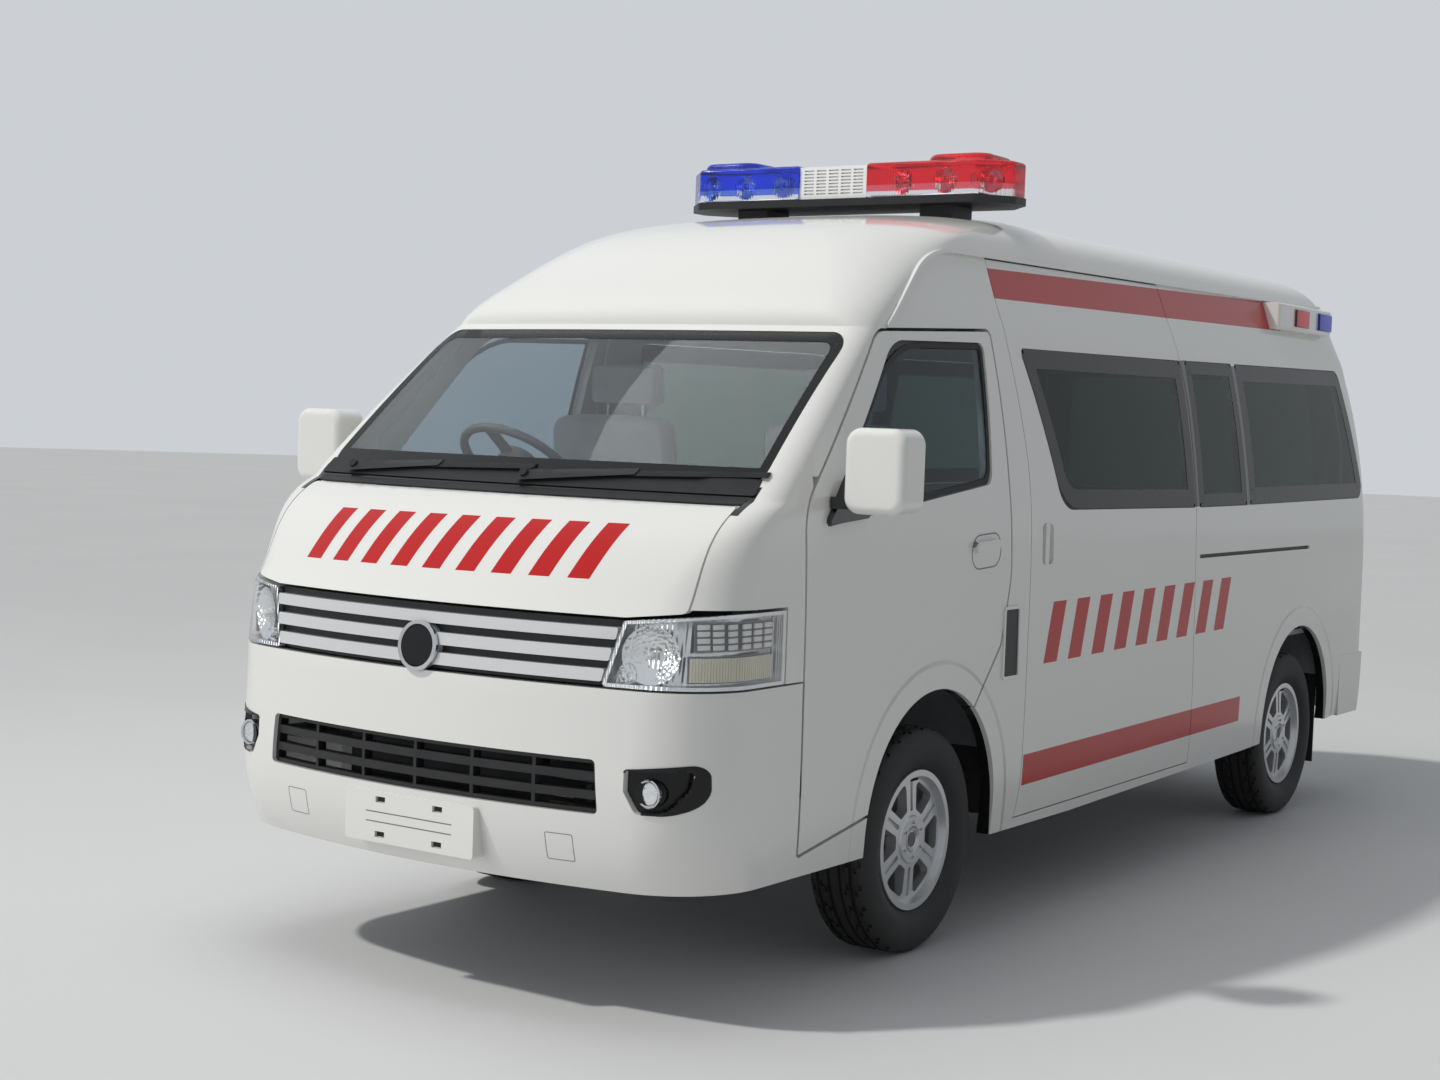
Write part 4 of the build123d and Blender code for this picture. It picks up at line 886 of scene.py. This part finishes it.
# %% Wiper arms and blades
# Columns: name, then the pivot, the blade's tip and the arm's end on the blade, as (x, z).
WIPERS = (
    ("wiper_near", (-0.63, 1.372), (0.06, 1.391), (-0.28, 1.393)),
    ("wiper_far", (0.05, 1.374), (0.775, 1.397), (0.40, 1.396)),
)
wiper_skin = caster("windscreen", "cowl", "bonnet")
for name, pivot, tip, middle in WIPERS:
    heel = pivot[0] + 0.03
    blade = [(heel, pivot[1] + 0.002), (heel, pivot[1] + 0.018), (tip[0], tip[1] + 0.014), tip]
    laid(name + "_blade", blade, [0.003] * 4, "front", wiper_skin, "black_trim", "body", seal_rubber,
         lift=0.001, thick=0.010, step=0.04)
    root = pivot[0] - 0.016
    arm = [(root, pivot[1] - 0.014), (root, pivot[1] + 0.014),
           (middle[0], middle[1] + 0.010), (middle[0], middle[1] - 0.006)]
    laid(name + "_arm", arm, [0.006, 0.006, 0.002, 0.002], "front", wiper_skin, "black_trim", "body",
         black_plastic, lift=0.009, thick=0.006, step=0.04)
    seat = Matrix.Translation(skin_at(wiper_skin, "front", *pivot) + Vector((0, -0.006, 0.004)))
    bm = bmesh.new()
    cone(bm, seat @ Matrix.Rotation(math.radians(60), 4, "X"), 0.016, 0.012, 0.024, 24)
    finish_piece(name + "_pivot", bm, "black_trim", "body", black_plastic)
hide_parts("wipers")
print("wipers laid on the glass")

# %% [markdown]
# ## Tyres with tread
# A tyre is a ring, so its profile with four grooves is spun once round the axle. Then single faces
# of the ribs are pushed in, in a staggered pattern, which makes the blocks. Blocks could also be
# copied round a smooth ring, but with faces pushed in, no loose part can float above the rubber.

# %% Tyre shape
# Columns: distance from the tyre's middle plane, radius.
TREAD = [
    (0.072, 0.196), (0.072, 0.207), (0.080, 0.219), (0.0895, 0.233), (0.0955, 0.250),
    (0.0972, 0.2665), (0.0968, 0.284), (0.0950, 0.300), (0.0905, 0.312), (0.0838, 0.3235),
    (0.0745, 0.3305), (0.0640, 0.3326), (0.0600, 0.3327), (0.0575, 0.3250), (0.0505, 0.3250),
    (0.0480, 0.3329), (0.0360, 0.3330), (0.0240, 0.3330), (0.0215, 0.3250), (0.0145, 0.3250),
    (0.0120, 0.3330), (0.0, 0.3330),
]
TYRE_STEPS = 120
RIB_RADIUS = 0.3268
SMALLEST_BLOCK = 0.00004
BLOCK_DEPTH = 0.006


def tyre_shape():
    """One tyre round the X axis, at the origin."""
    half = [(across, 0, radius) for across, radius in TREAD]
    other = [(-across, 0, radius) for across, radius in reversed(TREAD[:-1])]
    bm = spun(half + other, ROUND_X, TYRE_STEPS)
    bmesh.ops.recalc_face_normals(bm, faces=bm.faces)
    pushed = []
    for face in bm.faces:
        middle = face.calc_center_median()
        if math.hypot(middle.y, middle.z) < RIB_RADIUS or face.calc_area() < SMALLEST_BLOCK:
            continue
        turn = int((math.atan2(middle.z, middle.y) + math.pi) / math.tau * TYRE_STEPS)
        stagger = int(abs(middle.x) * 90)
        if (turn + stagger) % 4 == 0 and abs(middle.x) > 0.02:
            pushed.append(face)
    bmesh.ops.inset_individual(bm, faces=pushed, thickness=0.0007, depth=-BLOCK_DEPTH, use_even_offset=True)
    return bm


print("tyre profile:", len(TREAD), "points a side")

# %% Tyres in place
WHEEL_X = 0.71
WHEELS = (
    ("front_left", 1, FRONT_AXLE), ("front_right", -1, FRONT_AXLE),
    ("rear_left", 1, REAR_AXLE), ("rear_right", -1, REAR_AXLE))


def at_wheel(bm, side, axle):
    """Moves a wheel part from the origin to a wheel, its outer side outwards."""
    if side < 0:
        turned_over(bm)
    bmesh.ops.translate(bm, verts=bm.verts, vec=(side * WHEEL_X, axle, TYRE_RADIUS))
    return bm


tyre_rubber = surface(
    "tyre_rubber", (0.008, 0.008, 0.009), (0.017, 0.017, 0.017), 22, (0.62, 0.82), 0.35, 0.0005)
tyre_dust = group_in(tyre_rubber.node_tree, road_film, Top=0.55)
layer(tyre_rubber, tyre_dust.outputs["Mask"], (0.035, 0.033, 0.030))
for corner, side, axle in WHEELS:
    piece = finish_piece("tread_" + corner, at_wheel(tyre_shape(), side, axle), "tyre",
                         "wheel_" + corner, tyre_rubber, smooth=32)
    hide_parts("tyre_" + corner)
print("tyre:", len(piece.data.polygons), "faces")

# %% [markdown]
# ## Rims, nuts and valves
# The six twin-rib spokes are already in the solid, so the rim is only smoothed and painted silver.
# Six nuts sit round a cap with a raised edge, and a rubber valve stands in the rim's lip. They are
# made at the origin and then moved to each wheel, so that all four wheels are alike.

# %% Rims and nuts
NUTS = 6
NUT_SIDES = 6
NUT_CIRCLE = 0.052
NUT_X = 0.060
# Columns: distance outwards from the wheel's middle plane, radius.
CAP = [(0.066, 0.0), (0.0672, 0.018), (0.066, 0.026), (0.0695, 0.0285), (0.0695, 0.032),
       (0.064, 0.0345), (0.058, 0.0345)]
for corner, side, axle in WHEELS:
    dressed("rim_" + corner, "rim_silver_" + corner, silver_paint, 35)
    bm = bmesh.new()
    for k in range(NUTS):
        turn = math.tau * (k + 0.5) / NUTS
        place = Vector((NUT_X, NUT_CIRCLE * math.cos(turn), NUT_CIRCLE * math.sin(turn)))
        cone(bm, Matrix.Translation(place) @ ALONG_X, 0.0105, 0.0098, 0.018, NUT_SIDES)
        stud = place + Vector((0.013, 0, 0))
        cone(bm, Matrix.Translation(stud) @ ALONG_X, 0.0062, 0.0045, 0.010, 12)
    wheel = "wheel_" + corner
    finish_piece("nuts_" + corner, at_wheel(bm, side, axle), "steel_parts", wheel, bright_metal, smooth=25)
    bm = spun([(across, 0, radius) for across, radius in CAP], ROUND_X)
    finish_piece("cap_" + corner, at_wheel(bm, side, axle), "rim_silver", wheel, satin_metal)
    bm = bmesh.new()
    valve_seat = Matrix.Translation((0.064, 0.0, 0.176)) @ Matrix.Rotation(math.radians(70), 4, "Y")
    cone(bm, valve_seat, 0.0055, 0.0035, 0.034, 16)
    finish_piece("valve_" + corner, at_wheel(bm, side, axle), "tyre", wheel, seal_rubber)
print("rims, nuts, caps and valves on", len(WHEELS), "wheels")

# %% [markdown]
# ## Headlamps
# Behind the clear lens sit a large and a small bright bowl with their bulbs, a block of small
# diodes that runs round the corner, and a fluted turn signal below it. A painted plate would look
# flat from the side, so these are real shapes. Each takes its place and turn from the lens: a ray
# from the middle of the nose's corner finds the lens, and the part stands behind that point.

# %% Places behind the lens
CORNER = Vector((0.608, -2.379, 0))
CORNER_RADIUS = 0.240
CORNER_ARC = CORNER_RADIUS * math.pi / 2
lens_skin = caster("headlamp_lenses")


def behind_lens(along, z, depth):
    """A place that deep behind the lens, with its turn. along runs round the corner from its start."""
    turn = min(along, CORNER_ARC) / CORNER_RADIUS
    centre = CORNER + Vector((0, max(0.0, along - CORNER_ARC), z))
    out = Vector((math.sin(turn), -math.cos(turn), 0))
    hit = lens_skin.ray_cast(centre, out)[0]
    return Matrix.Translation(hit - out * depth) @ Matrix.Rotation(turn, 4, "Z")


print("a place behind the lens:", behind_lens(0.1, 0.95, 0.018).translation)

# %% Headlamp bowls and bulbs
BOWL_ROWS = 9


def bowl(radius, depth, steps=48):
    """A parabolic reflector that opens towards -Y, with its rim at y 0."""
    shares = [k / BOWL_ROWS for k in range(1, BOWL_ROWS + 1)]
    points = [(radius * share, depth * (1 - share ** 2), 0) for share in shares]
    return spun(points + [(radius * 1.06, -0.002, 0)], ROUND_Y, steps)


def bulb(place, radius, length):
    """A round-ended bulb that points towards -Y."""
    bm = bmesh.new()
    cone(bm, Matrix.Translation(place) @ ALONG_Y, radius, radius, length, 20)
    bmesh.ops.create_uvsphere(bm, u_segments=20, v_segments=10, radius=radius,
                              matrix=Matrix.Translation(place + Vector((0, -length / 2, 0))))
    return bm


# Columns: place along the lens, height, bowl's radius and depth, bulb's radius.
BOWLS = ((0.100, 0.950, 0.070, 0.024, 0.011), (0.016, 0.903, 0.026, 0.014, 0.007))
for k, (along, z, radius, depth, bulb_radius) in enumerate(BOWLS):
    seat = behind_lens(along, z, 0.018)
    bm = bowl(radius, depth)
    bmesh.ops.transform(bm, verts=bm.verts, matrix=seat)
    paired(f"lamp_bowl_{k}", bm, "lamp_housing", faceted_metal, recalc=False)
    bm = bulb(Vector((0, 0.006, 0)), bulb_radius, 0.014)
    bmesh.ops.transform(bm, verts=bm.verts, matrix=seat)
    paired(f"lamp_bulb_{k}", bm, "lamp_lens", lamp_white)
print("bowls on each side:", len(BOWLS))

# %% Diodes and turn signal
DIODE_START, DIODE_PITCH, DIODE_COLUMNS = 0.276, 0.047, 6
DIODE_ROWS = (0.974, 0.991, 1.008, 1.025)
FLUTE_START, FLUTE_PITCH, FLUTES = 0.236, 0.0094, 32
FLUTE_Z = 0.918
STRIP_STEPS = 16


def lamp_strip(start, end, z0, z1, depth):
    """A thin backing plate that follows the lens."""
    bm = bmesh.new()
    pairs = []
    for k in range(STRIP_STEPS + 1):
        along = start + (end - start) * k / STRIP_STEPS
        pairs.append([bm.verts.new(behind_lens(along, z, depth).translation) for z in (z0, z1)])
    for near, far in zip(pairs, pairs[1:]):
        bm.faces.new((near[0], far[0], far[1], near[1]))
    return bm


bm = bmesh.new()
for column in range(DIODE_COLUMNS):
    for z in DIODE_ROWS:
        block(bm, behind_lens(DIODE_START + DIODE_PITCH * column, z, 0.012), (0.036, 0.006, 0.0125))
soften(bm, bm.edges[:], 0.0016)
paired("diode_block", bm, "lamp_lens", lamp_white)
bm = bmesh.new()
for flute in range(FLUTES):
    cone(bm, behind_lens(FLUTE_START + FLUTE_PITCH * flute, FLUTE_Z, 0.013), 0.0042, 0.0042, 0.060, 10)
paired("signal_flutes", bm, "lamp_lens", signal_clear)
paired("diode_back", lamp_strip(0.250, 0.540, 0.962, 1.037, 0.021), "lamp_housing", lamp_backing)
paired("signal_back", lamp_strip(0.228, 0.540, 0.884, 0.952, 0.021), "lamp_housing", lamp_backing)
print("diodes and signals on both sides")

# %% [markdown]
# ## Grille and badge
# Broad bright bars cross a dark plate, and the solid has them, so they only get their silver. The
# badge in the middle is blank: a bright ring round a black disc. The ring is spun from its section,
# which gives it a soft edge that a plain cylinder would lack. Both lean back with the grille.

# %% Grille
BADGE_Z = 0.925
BADGE_LEAN = math.radians(-6.9)
# Columns: radius, distance along the axis.
BADGE_RING = [(0.0665, 0.004), (0.0665, -0.004), (0.0635, -0.0065), (0.0565, -0.0065),
              (0.0540, -0.003), (0.0540, 0.002)]
dressed("grille", "grille_bars", grille_silver, 30)
badge_y = skin_at(caster("grille"), "front", 0.0, BADGE_Z).y
badge_seat = Matrix.Translation((0, badge_y, BADGE_Z)) @ Matrix.Rotation(BADGE_LEAN, 4, "X")
bm = spun([(radius, along, 0) for radius, along in BADGE_RING], ROUND_Y, 72)
bmesh.ops.transform(bm, verts=bm.verts, matrix=badge_seat)
finish_piece("badge_ring", bm, "bright_trim", "body", bright_metal)
bm = bmesh.new()
cone(bm, badge_seat @ Matrix.Translation((0, -0.0025, 0)) @ ALONG_Y, 0.0545, 0.0525, 0.004, 72)
finish_piece("badge_disc", bm, "black_trim", "body", black_gloss)
print("badge at y", round(badge_y, 3))

# %% [markdown]
# ## Light bar and roof lamps
# Under each coloured lens stand three turned reflectors with bulbs, over a bright tray. A darker
# lens could hide that they are missing, but real ones throw spots of light through it. The white
# middle is the loudspeaker behind its slots. The marker lamps share the two coloured lenses.

# %% Light bar
BAR_Y = FRONT_AXLE + 0.825
ROTATOR_Z = 2.350
# Columns: distance from the middle, turn in degrees.
ROTATORS = ((0.235, -25), (0.390, 0), (0.530, 25))
dressed("red_lenses", "red_domes", red_lens, 35)
dressed("blue_lenses", "blue_domes", blue_lens, 35)
dressed("speaker", "speaker_panel", lamp_white, 30)
for k, (x, turn) in enumerate(ROTATORS):
    seat = Matrix.Translation((x, BAR_Y - 0.03, ROTATOR_Z)) @ Matrix.Rotation(math.radians(turn), 4, "Z")
    bm = bowl(0.040, 0.034, 32)
    bmesh.ops.transform(bm, verts=bm.verts, matrix=seat)
    paired(f"rotator_{k}", bm, "lamp_housing", mirror_metal, recalc=False)
    bm = bulb(Vector((x, BAR_Y - 0.04, ROTATOR_Z)), 0.009, 0.02)
    paired(f"rotator_bulb_{k}", bm, "lamp_lens", lamp_white)
bm = bmesh.new()
block(bm, Matrix.Translation((0.345, BAR_Y, 2.300)), (0.40, 0.25, 0.004))
soften(bm, bm.edges[:], 0.0015)
paired("bar_tray", bm, "lamp_housing", mirror_metal)
print("light bar dressed, reflectors on each side:", len(ROTATORS))

# %% [markdown]
# ## Mirrors
# The mirror housings are white with a black foot, and their glass faces the rear. The foot's black
# is a mask on X, because housing and foot are one moulding in the solid.

# %% Mirrors
MIRROR_FOOT_X = 0.903
MIRROR_GLASS = Vector((0.997, FRONT_AXLE - 0.5805, 1.422))
mirror_paint = surface(
    "mirror_paint", WHITE_DARK, WHITE_LIGHT, 4, (0.22, 0.3), 0.03, 0.0002,
    Coat_Weight=0.6, Coat_Roughness=0.05)
tree = mirror_paint.node_tree
across = calc(tree, "ABSOLUTE", place_in(tree)[0])
layer(mirror_paint, calc(tree, "LESS_THAN", across, MIRROR_FOOT_X), (0.014, 0.014, 0.015))
for side, sign in (("left", 1), ("right", -1)):
    dressed("mirror_" + side, "mirror_housing_" + side, mirror_paint, 35)
    middle = Vector((sign * MIRROR_GLASS.x, MIRROR_GLASS.y, MIRROR_GLASS.z))
    bm = bmesh.new()
    block(bm, Matrix.Translation(middle), (0.156, 0.003, 0.198))
    corners = [e for e in bm.edges if abs((e.verts[0].co - e.verts[1].co).normalized().y) > 0.9]
    soften(bm, corners, 0.034, 6)
    finish_piece("mirror_glass_" + side, bm, "lamp_housing", "door_" + side, mirror_metal)
print("mirrors dressed")

# %% [markdown]
# ## Small outside trim
# Covers, grooves and recesses show on a van's skin as thin grey lines of shade. Cutting them into the
# panels would be much work for a line a few millimetres wide, so each is a narrow frame or strip of
# painted shade laid on the panel. The plate bracket has four slots, which are dark blocks of painted
# shade, and two grooves, and stays blank.

# %% Bumper trim
PLATE_Y = -2.6528
# A mid grey for painted shade: the thin dark lines in gaps, grooves and recesses.
shade_line_grey = surface("shade_line_grey", (0.16, 0.16, 0.16), (0.22, 0.22, 0.22), 8, (0.5, 0.6))
bumper_skin = caster("front_bumper")
# Each tow hook cover gets a thin frame of painted shade for the gap round it.
for side in (1, -1):
    inner, outer = side * 0.420, side * 0.500
    cover = [(inner, 0.415), (inner, 0.487), (outer, 0.487), (outer, 0.415)]
    laid(f"tow_cover_{side}", cover, [0.006] * 4, "front", bumper_skin, "black_trim", "body",
         shade_line_grey, lift=0.0, thick=0.0005, border=0.0018, step=0.02)
# The plate bracket's four slots are thin dark blocks of painted shade.
bm = bmesh.new()
for x in (-0.100, 0.100):
    for z in (0.413, 0.506):
        block(bm, Matrix.Translation((x, PLATE_Y, z)), (0.030, 0.0010, 0.0125))
finish_piece("plate_slot_shade", bm, "black_trim", "body", seal_rubber)
# The bracket's two grooves are thin strips of painted shade.
for low, high in ((0.445, 0.448), (0.471, 0.474)):
    groove = [(-0.150, low), (-0.150, high), (0.150, high), (0.150, low)]
    laid(f"plate_groove_{int(low * 1000)}", groove, [0] * 4, "front", bumper_skin, "black_trim",
         "body", shade_line_grey, lift=0.0, thick=0.0004, step=0.1)
print("bumper trim laid")

# %% Side trim
wall_skin = caster("body_side_left")
# A thin grey frame of painted shadow round each door handle's recess.
laid("handle_recess_shade", [(-1.160, 1.120), (-1.160, 1.225), (-0.968, 1.235), (-0.968, 1.130)],
     [0.05] * 4, "left", caster("door_left"), "black_trim", "door_left", shade_line_grey,
     lift=0.0, thick=0.0005, border=0.004, step=0.02, mirror="door_right")
laid("vent_patch", [(-0.932, 0.785), (-0.932, 0.995), (-0.838, 0.995), (-0.828, 0.785)],
     [0.012] * 4, "left", wall_skin, "black_trim", "body", black_plastic,
     lift=0.0, thick=0.002, step=0.03)
laid("vent_frame", [(-0.940, 0.777), (-0.940, 1.003), (-0.832, 1.003), (-0.826, 0.777)],
     [0.016] * 4, "left", wall_skin, "body_white", "body", white_paint,
     lift=0.0, thick=0.006, border=0.010, step=0.03)
laid("rail_cover", [(0.642, 1.0988), (0.642, 1.1112), (1.832, 1.1112), (1.832, 1.0988)],
     [0.004] * 4, "left", wall_skin, "black_trim", "body", black_plastic,
     lift=0.0005, thick=0.012, step=0.1)
print("side trim laid")

# %% [markdown]
# ## Fog lamps
# A black bezel lies on the bumper round each fog lamp's opening. It is cut flat and finely sliced,
# what lies over the opening is deleted, and the rest is laid on the skin. That way the bezel's hole
# is the bumper's own, without a second outline. In the opening sit a bright ring and a domed glass.

# %% Fog lamps
FOG_X, FOG_Z = 0.700, 0.610
# Columns: x, z, corner radius.
FOG_BEZEL = (
    (0.6405, 0.6675, 0.008), (0.798, 0.684, 0.012), (0.816, 0.666, 0.012), (0.818, 0.603, 0.02),
    (0.796, 0.573, 0.02), (0.748, 0.5555, 0.02), (0.6725, 0.5565, 0.02), (0.6405, 0.612, 0.01))
# Columns: radius, distance along the axis.
FOG_RING = [(0.0365, 0.004), (0.0365, -0.006), (0.0335, -0.009), (0.0300, -0.007), (0.0290, 0.000)]
bm = outline([(x, z) for x, z, radius in FOG_BEZEL], [radius for x, z, radius in FOG_BEZEL], "front")
sliced(bm, 0.006)
inwards, start = VIEWS["front"]
hole = set()
for vertex in bm.verts:
    hit, normal = bumper_skin.ray_cast(start(vertex.co.x, vertex.co.z), inwards)[:2]
    if not on_face(hit, normal, inwards):
        hole.add(vertex)
bmesh.ops.delete(bm, geom=[face for face in bm.faces if hole.issuperset(face.verts)], context="FACES")
drop(bm, bumper_skin, "front", 0.0006, 0.002)
paired("fog_bezel", bm, "black_trim", black_gloss)
fog_y = skin_at(caster("fog_lamps"), "front", FOG_X, FOG_Z).y
bm = spun([(radius, along, 0) for radius, along in FOG_RING], ROUND_Y)
bmesh.ops.translate(bm, verts=bm.verts, vec=(FOG_X, fog_y, FOG_Z))
paired("fog_ring", bm, "lamp_housing", bright_metal)
bm = bmesh.new()
dome = Matrix.Translation((FOG_X, fog_y - 0.001, FOG_Z)) @ Matrix.Diagonal((0.029, 0.007, 0.029, 1))
bmesh.ops.create_uvsphere(bm, u_segments=32, v_segments=16, radius=1.0, matrix=dome)
paired("fog_glass", bm, "lamp_housing", faceted_metal)
print("fog lamps at y", round(fog_y, 3))

# %% [markdown]
# ## Seats
# Two cab seats stand on the platform behind the front wheels. A seat is foam under cloth: each pad
# is a closed box that is cut into a grid, rounded, and crowned by pushing its middle out, with sewn
# channels pressed into it. A Subdivision Surface modifier then makes it soft. Cloth over a
# cushion could also be simulated, but tight covers like these show few folds.

# %% Pad helper
CHANNEL_WIDTH, CHANNEL_DEPTH = 0.12, 0.012
seat_cloth = surface("seat_cloth", (0.42, 0.43, 0.44), (0.62, 0.63, 0.64), 9, (0.75, 0.9), Sheen_Weight=0.3)
patterned(seat_cloth, "ShaderNodeTexChecker", 420.0, "Fac", 0.35, 0.0006)


def pad(name, middle, size, tilt, crown, channels):
    """A crowned cushion: middle and size in metres, tilt about X, crown out of its +Z face."""
    bm = bmesh.new()
    bmesh.ops.create_cube(bm, size=1.0, matrix=Matrix.Diagonal((*size, 1)))
    bmesh.ops.subdivide_edges(bm, edges=bm.edges[:], cuts=11, use_grid_fill=True)
    half = Vector(size) / 2
    for vertex in bm.verts:
        u, v, w = vertex.co.x / half.x, vertex.co.y / half.y, vertex.co.z / half.z
        swell = (1 - u * u) * (1 - v * v)
        vertex.co.z += crown * swell * (1 if w > 0 else 0.3 * w)
        pinch = 1 - 0.05 * w * w - 0.03 * (u * v) ** 2
        vertex.co.x *= pinch
        vertex.co.y *= pinch
        for channel in channels:
            near = max(0.0, 1 - abs(u - channel) / CHANNEL_WIDTH)
            if w > 0.9:
                vertex.co.z -= CHANNEL_DEPTH * near * near
    bmesh.ops.smooth_vert(bm, verts=bm.verts, factor=0.5, use_axis_x=True, use_axis_y=True, use_axis_z=True)
    leaning = Matrix.Translation(middle) @ Matrix.Rotation(math.radians(tilt), 4, "X")
    bmesh.ops.transform(bm, verts=bm.verts, matrix=leaning)
    obj = finish_piece(name, bm, "seat_cloth", "body", seat_cloth, smooth=80)
    rounding = obj.modifiers.new("soften", "SUBSURF")
    rounding.levels = rounding.render_levels = 1


print("cloth:", seat_cloth.name)

# %% Seat pads
SEAT_X = 0.415
CHANNELS = (-0.55, 0.55)
# Columns: name, place behind the front axle, height, size, tilt in degrees, crown, channels.
PADS = (
    ("cushion", -0.110, 0.953, (0.470, 0.450, 0.100), -2, 0.014, CHANNELS),
    ("back", 0.098, 1.268, (0.460, 0.560, 0.100), 98, 0.012, CHANNELS),
    ("headrest", 0.136, 1.645, (0.255, 0.130, 0.075), 92, 0.008, ()),
)
for label, x in (("driver", -SEAT_X), ("crew", SEAT_X)):
    for part, y, z, size, tilt, crown, channels in PADS:
        pad(f"{label}_{part}", (x, FRONT_AXLE + y, z), size, tilt, crown, channels)
    bm = bmesh.new()
    for post in (-0.07, 0.07):
        cone(bm, Matrix.Translation((x + post, FRONT_AXLE + 0.130, 1.565)), 0.007, 0.007, 0.12, 16)
    finish_piece(label + "_headrest_posts", bm, "steel_parts", "body", steel)
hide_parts("seats")
print("seats padded")

# %% [markdown]
# ## The floor under the van
# A plain pale floor keeps the van's shadow. It is part of the stage, not of the object.

# %% Studio floor
FLOOR_RADIUS = 60
studio_grey = surface("studio_grey", (0.66, 0.665, 0.67), (0.72, 0.725, 0.73), 0.6, (0.6, 0.75))
bm = bmesh.new()
bmesh.ops.create_circle(bm, cap_ends=True, segments=96, radius=FLOOR_RADIUS)
mesh = bpy.data.meshes.new("studio_floor")
bm.to_mesh(mesh)
bm.free()
mesh.materials.append(studio_grey)
studio_floor = bpy.data.objects.new("studio_floor", mesh)
scene.collection.objects.link(studio_floor)
print("floor radius:", FLOOR_RADIUS)
